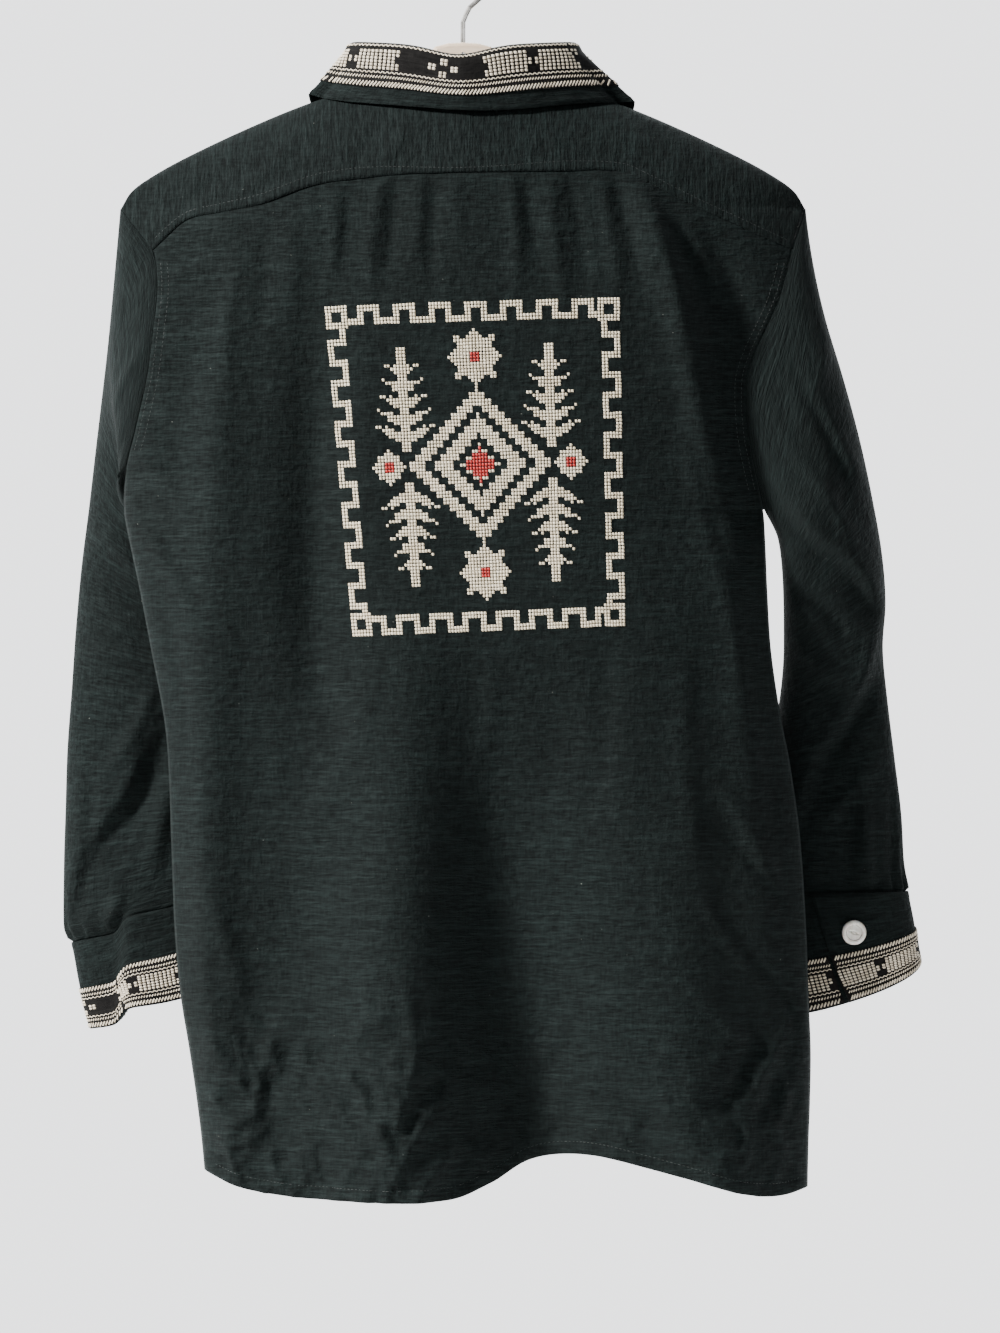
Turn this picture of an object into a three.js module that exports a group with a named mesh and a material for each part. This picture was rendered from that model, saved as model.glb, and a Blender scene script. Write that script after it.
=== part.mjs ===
import * as THREE from "three";

// Embroidered button-down shirt hanging on a wooden hanger, in millimetres.
// +X is to the right of a viewer who looks at the back of the shirt, +Y goes from the back of the shirt to
// its front, +Z is up. The origin is the underside of the hook's crown, where a rod carries the hanger.
// "drop" is a distance below that point, so z = -drop.

// Cloth and trim as solid walls.
const CLOTH = 1.4; // one layer of slub cloth
const MADE_UP = 1.8; // two layers with interlining: collar, stand, cuffs, front band
const TRIM = 1.0; // woven band sewn on the collar and the cuffs
const SEAM_GAP = 0.4; // between neighbouring pieces
const LAY_GAP = 0.3; // between a piece and the one that lies on it

// Overall sizes.
const SHOULDER_HALF = 232.6; // neck centre to shoulder tip
const NECK_HALF = 72; // half the width of the neck seam
const NECK_SIDE = 93; // drop of the neck seam at the side
const NECK_BACK = 104; // drop of the neck seam at the centre back
const NECK_FRONT = 141; // drop of the neck seam at the centre front
const FRONT_SEAM = 108; // drop of the front yoke seam at the neck
const FRONT_EDGE = 15; // the fronts meet this far to the wearer's left of the centre
const BAND_WIDTH = 33; // front band
const HANGER_RADIUS = 9; // the cloth turns over the hanger's arms with this radius
const SHOULDER_LEAN = 0.8; // how fast back and front part below the shoulder line

// The shoulder line, from the neck outwards; inside the neck it only guides the yoke's slope.
const SHOULDER_LINE = [
  { x: 0, drop: 72 },
  { x: 36, drop: 80 },
  { x: 72, drop: 93 },
  { x: 107, drop: 104 },
  { x: 148, drop: 121 },
  { x: 190, drop: 141 },
  { x: 213, drop: 154 },
  { x: 226, drop: 164 },
  { x: 232.6, drop: 175 },
];

// Left and right edge of the hanging body, seen from the back: armhole seams down to the underarms, then sides.
const BODY_EDGES = [
  { drop: 175, left: -232.6, right: 232.6 },
  { drop: 202, left: -211, right: 223.7 },
  { drop: 220, left: -207, right: 219 },
  { drop: 237, left: -207, right: 214 },
  { drop: 255, left: -209, right: 206 },
  { drop: 272, left: -211, right: 198 },
  { drop: 292, left: -214, right: 192 },
  { drop: 326, left: -222, right: 193 },
  { drop: 353, left: -229, right: 198 },
  { drop: 380, left: -230.5, right: 204 },
  { drop: 400, left: -227, right: 205.5 },
  { drop: 435, left: -219.6, right: 207 },
  { drop: 475, left: -212, right: 209.5 },
  { drop: 520, left: -203.5, right: 216 },
  { drop: 550, left: -200.5, right: 222 },
  { drop: 600, left: -198.6, right: 229 },
  { drop: 666, left: -196, right: 233.5 },
  { drop: 710, left: -192, right: 235 },
  { drop: 747, left: -186, right: 236.5 },
  { drop: 781, left: -181, right: 236 },
  { drop: 810, left: -177.5, right: 235 },
  { drop: 860, left: -173, right: 234 },
];

// The back yoke seam, which the hanging cloth pulls down at both ends.
const YOKE_SEAM = [
  { x: -211, drop: 203 },
  { x: -188, drop: 183 },
  { x: -163, drop: 177.5 },
  { x: -137, drop: 172.5 },
  { x: -101, drop: 160 },
  { x: -69, drop: 155.5 },
  { x: -33, drop: 152.5 },
  { x: 67, drop: 150.5 },
  { x: 108, drop: 150.5 },
  { x: 127, drop: 158.5 },
  { x: 154, drop: 172 },
  { x: 197, drop: 191 },
  { x: 224, drop: 202 },
];

// Hem of the back, lowest where the folds come forward.
const BACK_HEM = [
  { x: -180, drop: 826 },
  { x: -152, drop: 838 },
  { x: -125, drop: 843 },
  { x: -100, drop: 845 },
  { x: -10, drop: 845 },
  { x: 20, drop: 834 },
  { x: 42, drop: 821 },
  { x: 66, drop: 816 },
  { x: 93, drop: 817 },
  { x: 127, drop: 825 },
  { x: 165, drop: 835 },
  { x: 190, drop: 842 },
  { x: 215, drop: 844 },
  { x: 236, drop: 839 },
];
const FRONT_HEM = 806;

// How far back and front stand from the middle plane.
const BODY_DEPTH = [
  { drop: 60, back: 46, front: 42 },
  { drop: 150, back: 48, front: 44 },
  { drop: 250, back: 52, front: 50 },
  { drop: 400, back: 50, front: 55 },
  { drop: 600, back: 44, front: 60 },
  { drop: 860, back: 50, front: 66 },
];

// Armholes: where they start and end, and how far they gape to the back and to the front.
const ARMHOLES = {
  left: { sign: -1, top: 175, under: 353, back: 26, front: 32 },
  right: { sign: 1, top: 175, under: 380, back: 21, front: 32 },
};

// Largest folds of the back. Each runs through its stations; "high" is towards the viewer, negative is a hollow.
const BACK_FOLDS = [
  [
    { drop: 150, x: 116, wide: 12, high: 1 },
    { drop: 203, x: 133, wide: 16, high: 6 },
    { drop: 258, x: 156, wide: 18, high: 11 },
    { drop: 319, x: 170, wide: 18, high: 13 },
    { drop: 387, x: 184, wide: 17, high: 11 },
    { drop: 441, x: 196, wide: 16, high: 7 },
    { drop: 545, x: 210, wide: 16, high: 3 },
    { drop: 640, x: 222, wide: 16, high: 0 },
  ],
  [
    { drop: 175, x: 165, wide: 18, high: 0 },
    { drop: 215, x: 174, wide: 20, high: -7 },
    { drop: 270, x: 190, wide: 18, high: -12 },
    { drop: 330, x: 203, wide: 14, high: -10 },
    { drop: 380, x: 212, wide: 12, high: 0 },
  ],
  [
    { drop: 190, x: -180, wide: 18, high: 0 },
    { drop: 240, x: -178, wide: 18, high: -5 },
    { drop: 320, x: -190, wide: 16, high: -5 },
    { drop: 430, x: -196, wide: 16, high: 0 },
  ],
  [
    { drop: 185, x: -96, wide: 16, high: 0 },
    { drop: 320, x: -98, wide: 18, high: -6 },
    { drop: 430, x: -98, wide: 18, high: -5 },
    { drop: 540, x: -96, wide: 16, high: 0 },
  ],
  [
    { drop: 430, x: -32, wide: 40, high: 0 },
    { drop: 560, x: -44, wide: 38, high: 10 },
    { drop: 700, x: -50, wide: 35, high: 18 },
    { drop: 860, x: -46, wide: 36, high: 24 },
  ],
  [
    { drop: 460, x: 8, wide: 34, high: 0 },
    { drop: 600, x: 24, wide: 34, high: -14 },
    { drop: 740, x: 42, wide: 36, high: -24 },
    { drop: 860, x: 62, wide: 42, high: -30 },
  ],
  [
    { drop: 430, x: 112, wide: 40, high: 0 },
    { drop: 600, x: 128, wide: 40, high: 7 },
    { drop: 740, x: 144, wide: 36, high: 11 },
    { drop: 860, x: 186, wide: 30, high: 15 },
  ],
  [
    { drop: 430, x: -152, wide: 28, high: 0 },
    { drop: 600, x: -142, wide: 30, high: -8 },
    { drop: 740, x: -132, wide: 26, high: -9 },
    { drop: 860, x: -122, wide: 20, high: -4 },
  ],
];

// Folds of the front, which hangs a little straighter.
const FRONT_FOLDS = [
  [
    { drop: 300, x: -110, wide: 30, high: 0 },
    { drop: 560, x: -104, wide: 34, high: 8 },
    { drop: 860, x: -96, wide: 36, high: 16 },
  ],
  [
    { drop: 360, x: 120, wide: 30, high: 0 },
    { drop: 600, x: 114, wide: 34, high: 9 },
    { drop: 860, x: 104, wide: 36, high: 15 },
  ],
  [
    { drop: 420, x: 52, wide: 26, high: 0 },
    { drop: 640, x: 50, wide: 28, high: -7 },
    { drop: 860, x: 50, wide: 30, high: -13 },
  ],
];

// Sleeves as rings: the outer and the inner edge of each, how far its middle lies towards the front and how
// deep it is. The last rows are the cuff, whose rear part may hang lower (sag).
const SLEEVES = {
  left: [
    { outX: -233.1, outDrop: 177, inX: -231, inDrop: 354, midY: 0, deep: 28 },
    { outX: -236, outDrop: 206, inX: -236, inDrop: 359, midY: 6, deep: 29 },
    { outX: -239, outDrop: 234, inX: -237, inDrop: 366, midY: 15, deep: 28 },
    { outX: -242.5, outDrop: 264, inX: -231, inDrop: 377, midY: 26, deep: 27 },
    { outX: -247, outDrop: 298, inX: -218, inDrop: 392, midY: 36, deep: 26 },
    { outX: -252, outDrop: 336, inX: -203, inDrop: 412, midY: 44, deep: 26 },
    { outX: -257, outDrop: 376, inX: -185, inDrop: 436, midY: 50, deep: 26 },
    { outX: -262.5, outDrop: 418, inX: -174, inDrop: 462, midY: 54, deep: 26 },
    { outX: -266.5, outDrop: 460, inX: -165, inDrop: 490, midY: 57, deep: 25 },
    { outX: -269.5, outDrop: 502, inX: -159, inDrop: 519, midY: 59, deep: 24 },
    { outX: -272.5, outDrop: 543, inX: -156, inDrop: 548, midY: 60, deep: 23 },
    { outX: -273.8, outDrop: 584, inX: -155, inDrop: 577, midY: 61, deep: 23 },
    { outX: -275, outDrop: 624, inX: -157, inDrop: 604, midY: 62, deep: 22 },
    { outX: -274.5, outDrop: 662, inX: -162, inDrop: 630, midY: 62, deep: 20 },
    { outX: -269, outDrop: 675, inX: -162, inDrop: 638, midY: 62, deep: 18 },
    { outX: -263, outDrop: 705, inX: -160, inDrop: 668, midY: 62, deep: 18 },
    { outX: -256, outDrop: 733, inX: -156, inDrop: 703, midY: 62, deep: 19 },
  ],
  right: [
    { outX: 233.1, outDrop: 176, inX: 204.6, inDrop: 381, midY: 0, deep: 26 },
    { outX: 236, outDrop: 204, inX: 207.5, inDrop: 386, midY: 1, deep: 28 },
    { outX: 241, outDrop: 230, inX: 211, inDrop: 391, midY: 3, deep: 29 },
    { outX: 249, outDrop: 258, inX: 214, inDrop: 398, midY: 5, deep: 30 },
    { outX: 259, outDrop: 290, inX: 216, inDrop: 408, midY: 8, deep: 31 },
    { outX: 270, outDrop: 330, inX: 217.5, inDrop: 422, midY: 12, deep: 31 },
    { outX: 279, outDrop: 370, inX: 218.5, inDrop: 440, midY: 18, deep: 30 },
    { outX: 286, outDrop: 408, inX: 219, inDrop: 460, midY: 25, deep: 28 },
    { outX: 289, outDrop: 442, inX: 219, inDrop: 482, midY: 32, deep: 25 },
    { outX: 287.5, outDrop: 474, inX: 217, inDrop: 506, midY: 38, deep: 23 },
    { outX: 291, outDrop: 510, inX: 213, inDrop: 532, midY: 42, deep: 22 },
    { outX: 296, outDrop: 550, inX: 209, inDrop: 562, midY: 44, deep: 22 },
    { outX: 300.6, outDrop: 588, inX: 206, inDrop: 592, midY: 45, deep: 22 },
    { outX: 302, outDrop: 622, inX: 204, inDrop: 622, midY: 45, deep: 21 },
    { outX: 303.5, outDrop: 640, inX: 206, inDrop: 642, midY: 44, deep: 18 },
    { outX: 307.5, outDrop: 662, inX: 208, inDrop: 680, midY: 44, deep: 18, sag: 6 },
    { outX: 312, outDrop: 689, inX: 210, inDrop: 720, midY: 44, deep: 19, sag: 12 },
  ],
};
const CUFF_ROW = 14; // the sleeve ends and the cuff begins at this row
const CUFF_END = 16;

// Creases where the upper sleeve hangs over the lower one, in the plane of the back.
const SLEEVE_FOLDS = {
  left: [
    { x0: -219, drop0: 549, x1: -270, drop1: 645, over: 6, under: 3, reach: 40 },
  ],
  right: [
    { x0: 222, drop0: 380, x1: 284, drop1: 444, over: 9, under: 7, reach: 46 },
    { x0: 285, drop0: 478, x1: 226, drop1: 596, over: 5, under: 3, reach: 30 },
  ],
};

// Cuffs: where on the ring the upper end lies, in turns from the outer edge towards the back, and its overlap.
const CUFF_STEPS = 23; // round the cuff once
const CUFF_LAP = 3; // further steps that lie under its upper end
const CUFF_WRAPS = {
  left: { start: 0.78, direction: -1, overlap: CUFF_LAP / CUFF_STEPS },
  right: { start: 0.285, direction: -1, overlap: CUFF_LAP / CUFF_STEPS },
};
const TRIM_TOP = 0.52; // of the cuff's height, measured from its upper seam

// Collar.
const COLLAR_STEP = 171 / 16; // degrees between two columns of the collar and its stand
const STAND_OVERLAP = 18 * COLLAR_STEP - 180; // degrees past the centre front
const COLLAR_END = 171; // degrees from the centre back to the collar points
const FOLD_HALF = 75; // half width at the fold
const FALL_HALF = 112; // half width at the lower edge
const FALL_TRIM = { from: 0.1, to: 0.74 }; // part of the fall that the trim covers

// Buttons.
const BUTTON = { radius: 7.8, thick: 3, rim: 1.4, dish: 0.7 };
const FRONT_BUTTONS = { count: 6, first: 205, pitch: 95 };

// Hanger.
const HANGER = { half: 214, thick: 12, bevel: 2.4, hump: 62, under: 3.2 };
const HOOK = { wire: 1.75, radius: 18.75, stem: 61.7 };

// Mesh densities.
const WING_COLUMNS = 9;
const NECK_COLUMNS = 10;
const YOKE_BACK_ROWS = 4;
const YOKE_FRONT_ROWS = 3;
const UPPER_ROWS = 7;
const LOWER_ROWS = 13;

const mix = (a, b, f) => a + (b - a) * f;
const clamp = (x, low, high) => Math.min(high, Math.max(low, x));
const ease = (f) => {
  const x = clamp(f, 0, 1);
  return x * x * (3 - 2 * x);
};

// Smooth value of one column of a table at a place along its key column.
function read(rows, key, at, column) {
  const last = rows.length - 1;
  const x = clamp(at, rows[0][key], rows[last][key]);
  let i = 0;
  while (i < last - 1 && x > rows[i + 1][key]) i += 1;
  const slope = (k) => {
    const a = rows[Math.max(0, k - 1)];
    const b = rows[Math.min(last, k + 1)];
    return (b[column] - a[column]) / (b[key] - a[key]);
  };
  const width = rows[i + 1][key] - rows[i][key];
  const f = (x - rows[i][key]) / width;
  const f2 = f * f;
  const f3 = f2 * f;
  return (
    rows[i][column] * (2 * f3 - 3 * f2 + 1) +
    rows[i + 1][column] * (3 * f2 - 2 * f3) +
    width * (slope(i) * (f3 - 2 * f2 + f) + slope(i + 1) * (f3 - f2))
  );
}

const shoulderDrop = (x) => read(SHOULDER_LINE, "x", Math.abs(x), "drop");
const seamDrop = (x) => read(YOKE_SEAM, "x", x, "drop");
const leftEdge = (drop) => read(BODY_EDGES, "drop", drop, "left");
const rightEdge = (drop) => read(BODY_EDGES, "drop", drop, "right");

function foldHeight(folds, x, drop) {
  let sum = 0;
  for (const stations of folds) {
    const first = stations[0].drop;
    if (drop < first) continue;
    const wide = read(stations, "drop", drop, "wide");
    const away = (x - read(stations, "drop", drop, "x")) / wide;
    const ended = stations[stations.length - 1].drop;
    if (drop > ended && stations[stations.length - 1].high === 0) continue;
    sum += read(stations, "drop", drop, "high") * Math.exp(-away * away);
  }
  return sum;
}

// Distance of the back or the front from the middle plane at one place of the body.
function bodyDepth(face, x, drop) {
  const middle = (leftEdge(drop) + rightEdge(drop)) / 2;
  const half = (rightEdge(drop) - leftEdge(drop)) / 2;
  const across = clamp((x - middle) / half, -1, 1);
  const hole = across < 0 ? ARMHOLES.left : ARMHOLES.right;
  const power = face === "back" ? 2.6 : 2.2;
  const rounding = mix(1, face === "back" ? 0.55 : 0.72, ease((drop - hole.under + 80) / 130));
  const gape = clamp((drop - hole.top) / (hole.under - hole.top), 0, 1);
  const edge = hole[face] * Math.sin(Math.PI * gape) ** 0.6;
  const share = Math.abs(across) ** power;
  const depth = edge * share + read(BODY_DEPTH, "drop", drop, face) * (1 - share) ** rounding;
  if (depth < 0.01) return 0;
  const below = Math.max(0, drop - shoulderDrop(x));
  const parted = Math.sqrt((SHOULDER_LEAN * below) ** 2 + 2 * HANGER_RADIUS * below);
  const folds = foldHeight(face === "back" ? BACK_FOLDS : FRONT_FOLDS, x, drop);
  return depth * Math.tanh(parted / depth) + folds * (1 - across ** 8) * ease(below / 30);
}

const onBack = (x, drop) => new THREE.Vector3(x, -bodyDepth("back", x, drop), -drop);
const onFront = (x, drop) => new THREE.Vector3(x, bodyDepth("front", x, drop), -drop);

// Outward normal of the back or the front, taken from its slope.
function faceNormal(face, x, drop) {
  const step = 2;
  const across = (bodyDepth(face, x + step, drop) - bodyDepth(face, x - step, drop)) / (2 * step);
  const down = (bodyDepth(face, x, drop + step) - bodyDepth(face, x, drop - step)) / (2 * step);
  return new THREE.Vector3(-across, face === "back" ? -1 : 1, down).normalize();
}

// Columns run from the left shoulder tip over the neck to the right one; u counts them.
const COLUMNS = 2 * WING_COLUMNS + NECK_COLUMNS;
const wingShare = (f) => 0.55 * f + 0.45 * Math.sin((Math.PI / 2) * f);
function columnX(u) {
  const inNeck = (u - WING_COLUMNS) / NECK_COLUMNS;
  if (inNeck >= 0 && inNeck <= 1) return NECK_HALF * Math.sin(Math.PI * (inNeck - 0.5));
  const out = (inNeck < 0 ? WING_COLUMNS - u : u - WING_COLUMNS - NECK_COLUMNS) / WING_COLUMNS;
  return Math.sign(inNeck) * mix(NECK_HALF, SHOULDER_HALF, wingShare(out)) || 0;
}

// Where a column crosses a line whose drop depends on x.
function crossing(share, dropAt) {
  let x = share * 215;
  for (let k = 0; k < 40; k += 1) {
    const drop = dropAt(x);
    x = mix(leftEdge(drop), rightEdge(drop), (share + 1) / 2);
  }
  return { x, drop: dropAt(x) };
}

const neckDrop = (x) => NECK_BACK - (NECK_BACK - NECK_SIDE) * (x / NECK_HALF) ** 2;

// The yoke: v = -1 is the back seam, 0 the shoulder line or the back neck seam, 1 the front seam.
function yokePoint(u, v) {
  const x = columnX(u);
  const inside = Math.abs(x) < NECK_HALF - 1e-6;
  const top = inside ? neckDrop(x) : shoulderDrop(x);
  if (v <= 0) {
    const seam = crossing(x / SHOULDER_HALF, seamDrop);
    const bend = 1 + ease(Math.abs(x) / NECK_HALF);
    const w = Math.abs(v) ** bend;
    return onBack(mix(x, seam.x, w), mix(top, seam.drop - SEAM_GAP, w));
  }
  const side = Math.sign(x);
  const out = (Math.abs(x) - NECK_HALF) / (SHOULDER_HALF - NECK_HALF);
  const seam = frontSeam(side, out);
  return onFront(mix(x, seam.x, v * v), mix(top, seam.drop - SEAM_GAP, v * v));
}

const neckX = (drop) => NECK_HALF * Math.sqrt(1 - (drop - NECK_SIDE) / (NECK_FRONT - NECK_SIDE));
const edgeX = (side, drop) => (side < 0 ? leftEdge(drop) : rightEdge(drop));
const SIDE_SEAM_TOP = 202; // drop of both yoke seams at the armholes

function frontSeam(side, out) {
  return {
    x: mix(side * neckX(FRONT_SEAM), edgeX(side, SIDE_SEAM_TOP), out),
    drop: mix(FRONT_SEAM, SIDE_SEAM_TOP, out),
  };
}

const UPPER_SHARE = UPPER_ROWS / (UPPER_ROWS + LOWER_ROWS);
function underDrop(across) {
  return mix(ARMHOLES.left.under, ARMHOLES.right.under, (across + 1) / 2);
}

// The back below the yoke: v = 0 is the seam, 1 the hem.
function backPoint(u, v) {
  const share = columnX(u) / SHOULDER_HALF;
  const seam = crossing(share, seamDrop).drop;
  const hem = crossing(share, (x) => read(BACK_HEM, "x", x, "drop")).drop;
  const under = underDrop(share);
  const drop =
    v < UPPER_SHARE
      ? mix(seam, under, v / UPPER_SHARE)
      : mix(under, hem, (v - UPPER_SHARE) / (1 - UPPER_SHARE));
  const point = onBack(mix(leftEdge(drop), rightEdge(drop), (share + 1) / 2), drop);
  point.y -= SEAM_GAP / 2;
  return point;
}

// One front: c = 0 is its neck and front edge, 1 its armhole and side; v = 0 is the yoke seam, 1 the hem.
const NECK_ROWS = 3;
function frontPoint(side, c, v) {
  const out = wingShare(c);
  const rows = v * (UPPER_ROWS + LOWER_ROWS);
  const innerEdge = side < 0 ? -FRONT_EDGE : -FRONT_EDGE + SEAM_GAP;
  const bottom = NECK_FRONT - 2;
  const under = side < 0 ? ARMHOLES.left.under : ARMHOLES.right.under;
  const inner =
    rows < NECK_ROWS
      ? mix(FRONT_SEAM, bottom, rows / NECK_ROWS)
      : rows < UPPER_ROWS
        ? mix(bottom, underDrop(0), (rows - NECK_ROWS) / (UPPER_ROWS - NECK_ROWS))
        : mix(underDrop(0), FRONT_HEM, (rows - UPPER_ROWS) / LOWER_ROWS);
  const outer =
    rows < UPPER_ROWS
      ? mix(SIDE_SEAM_TOP, under, rows / UPPER_ROWS)
      : mix(under, FRONT_HEM, (rows - UPPER_ROWS) / LOWER_ROWS);
  const drop = mix(inner, outer, out);
  const innerX =
    rows < NECK_ROWS
      ? side * neckX(inner)
      : mix(side * neckX(bottom), innerEdge, ease((rows - NECK_ROWS) / 1));
  const point = onFront(mix(innerX, edgeX(side, outer), out), drop);
  point.y += SEAM_GAP / 2;
  return point;
}

// The armhole seam as a loop: w = 0 is the shoulder tip, then down the back, round the underarm and up the front.
const RING = YOKE_BACK_ROWS + 2 * UPPER_ROWS + YOKE_FRONT_ROWS;
const UNDERARM = YOKE_BACK_ROWS + UPPER_ROWS;
function armhole(side, w) {
  const k = w * RING;
  const u = side < 0 ? 0 : COLUMNS;
  let point;
  if (k <= YOKE_BACK_ROWS) point = yokePoint(u, -k / YOKE_BACK_ROWS);
  else if (k <= UNDERARM) point = backPoint(u, ((k - YOKE_BACK_ROWS) / UPPER_ROWS) * UPPER_SHARE);
  else if (k <= UNDERARM + UPPER_ROWS)
    point = frontPoint(side, 1, ((UNDERARM + UPPER_ROWS - k) / UPPER_ROWS) * UPPER_SHARE);
  else point = yokePoint(u, (RING - k) / YOKE_FRONT_ROWS);
  const nearUnderarm = Math.exp(-(((k - UNDERARM) / 3.2) ** 2));
  const nearTip = Math.exp(-((Math.min(k, RING - k) / 1.2) ** 2));
  point.x += side * (0.7 + 2.2 * nearUnderarm + 0.6 * nearTip);
  return point;
}

// A place on a sleeve or its cuff: t counts the rows of its table, w goes round as on the armhole.
function sleevePoint(side, t, w) {
  const name = side < 0 ? "left" : "right";
  const rows = SLEEVES[name].map((row, at) => ({ at, sag: 0, ...row }));
  const at = (column) => read(rows, "at", t, column);
  const turn = w - Math.floor(w);
  const under = UNDERARM / RING;
  const angle = Math.PI * (turn < under ? turn / under : 1 + (turn - under) / (1 - under));
  const cos = Math.sign(Math.cos(angle)) * Math.abs(Math.cos(angle)) ** 0.9;
  const sin = Math.sign(Math.sin(angle)) * Math.abs(Math.sin(angle)) ** 0.9;
  const x = mix(at("inX"), at("outX"), (cos + 1) / 2);
  const drop = mix(at("inDrop"), at("outDrop"), (cos + 1) / 2) + at("sag") * sin;
  let y = at("midY") - at("deep") * sin;
  if (sin > 0)
    for (const fold of SLEEVE_FOLDS[name]) y -= creaseHeight(fold, x, drop) * Math.sqrt(sin);
  const point = new THREE.Vector3(x, y, -drop);
  if (t >= 3) return point;
  return armhole(side, turn).lerp(point, ease(t / 3));
}

function creaseHeight(fold, x, drop) {
  const alongX = fold.x1 - fold.x0;
  const alongDrop = fold.drop1 - fold.drop0;
  const length = Math.hypot(alongX, alongDrop);
  const along = ((x - fold.x0) * alongX + (drop - fold.drop0) * alongDrop) / length / length;
  const above = ((fold.drop0 - drop) * Math.abs(alongX) + Math.sign(alongX) * (x - fold.x0) * alongDrop) / length;
  const ends = ease((along + 0.25) / 0.4) * ease((1.25 - along) / 0.4);
  const step = ease((above + 16) / 32);
  const over = fold.over * Math.exp(-Math.max(0, above) / fold.reach);
  const under = fold.under * Math.exp(Math.min(0, above) / (fold.reach * 0.6));
  return ends * (step * over - (1 - step) * under);
}

// A cuff is a strip that wraps round: g runs from its upper end to its lower one, 0 to 1 + overlap turns.
function cuffPoint(side, t, g, lift) {
  const wrap = side < 0 ? CUFF_WRAPS.left : CUFF_WRAPS.right;
  const w = wrap.start + wrap.direction * g;
  const base = sleevePoint(side, t, w);
  const raised = (MADE_UP + LAY_GAP + 0.2) * (1 - ease((g - wrap.overlap - 0.02) / 0.2)) + lift;
  return base.add(ringNormal(side, t, w).multiplyScalar(raised));
}

function ringNormal(side, t, w) {
  const step = 1e-3;
  const low = Math.max(0, t - 0.02);
  const along = sleevePoint(side, t + 0.02, w).sub(sleevePoint(side, low, w));
  const around = sleevePoint(side, t, w + step).sub(sleevePoint(side, t, w - step));
  return new THREE.Vector3().crossVectors(around, along).normalize().multiplyScalar(side);
}

// The neck seam by its angle from the centre back; positive to the right.
function neckPoint(angle) {
  const x = NECK_HALF * Math.sin(angle);
  const cos = Math.cos(angle);
  if (cos >= 0) return onBack(x, NECK_SIDE + (NECK_BACK - NECK_SIDE) * cos * cos);
  return onFront(x, NECK_SIDE + (NECK_FRONT - NECK_SIDE) * cos * cos);
}

// The top of the stand, where the collar folds over.
function foldPoint(angle) {
  const cos = Math.cos(angle);
  const base = neckPoint(angle);
  const x = FOLD_HALF * Math.sin(angle);
  const dip = 6.5 * Math.exp(-(((x + 3) / 24) ** 2)) - 1;
  const drop = cos >= 0 ? 67 + 5 * cos * cos + dip * cos : 67 + 45 * cos * cos;
  return new THREE.Vector3(x, base.y - 5 * cos, -drop);
}

// The stand: h = 0 is the neck seam, 1 the fold.
function standPoint(angle, h) {
  const past = (Math.abs(angle) * 180) / Math.PI - 180 + STAND_OVERLAP;
  const raised = angle > 0 ? (MADE_UP + LAY_GAP + 0.2) * ease((past + 26) / 20) : 0;
  const foot = neckPoint(angle);
  foot.z += SEAM_GAP + 0.7;
  const point = foot.lerp(foldPoint(angle), h);
  return point.add(outward(angle).multiplyScalar(raised));
}

// Horizontal direction away from the neck.
function outward(angle) {
  return new THREE.Vector3(Math.sin(angle) / FOLD_HALF, -Math.cos(angle) / 40, 0).normalize();
}

// Lower edge of the collar, resting on the yoke and the fronts.
function fallEdge(angle) {
  const degrees = (Math.abs(angle) * 180) / Math.PI;
  const sign = Math.sign(angle);
  const clear = MADE_UP + LAY_GAP + 3.2;
  if (degrees <= 90) {
    const x = FALL_HALF * Math.sin(angle);
    const drop = 110 - 13 * Math.sin(angle) ** 2;
    const y = bodyDepth("back", x, drop) + clear * Math.cos(angle);
    return new THREE.Vector3(x, -y, -drop);
  }
  const f = (degrees - 90) / (COLLAR_END - 90);
  const x = sign * mix(FALL_HALF, 62, f ** 1.5);
  const drop = 97 + 74 * f;
  return new THREE.Vector3(x, bodyDepth("front", x, drop) + clear * ease(0.4 + 4 * f), -drop);
}

// The turned-down collar: v = 0 at the stand's top, 1 at the lower edge.
const ROLL = [
  { at: 0, out: -1.9, up: 3.5 },
  { at: 0.05, out: 0.5, up: 4.3 },
  { at: 0.1, out: 3.3, up: 2.7 },
  { at: 0.17, out: 4.9, up: -1.2 },
];
function fallPoint(angle, v, lift) {
  const fold = foldPoint(angle);
  const away = outward(angle);
  const onRoll = (at) =>
    fold
      .clone()
      .addScaledVector(away, read(ROLL, "at", at, "out"))
      .add(new THREE.Vector3(0, 0, read(ROLL, "at", at, "up")));
  const end = ROLL[ROLL.length - 1].at;
  const point = v <= end ? onRoll(v) : onRoll(end).lerp(fallEdge(angle), (v - end) / (1 - end));
  if (!lift) return point;
  const step = 0.004;
  const down = fallPoint(angle, Math.min(1, v + step), 0).sub(fallPoint(angle, Math.max(0, v - step), 0));
  const along = fallPoint(angle + step, v, 0).sub(fallPoint(angle - step, v, 0));
  return point.addScaledVector(down.cross(along).normalize(), lift);
}

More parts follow.
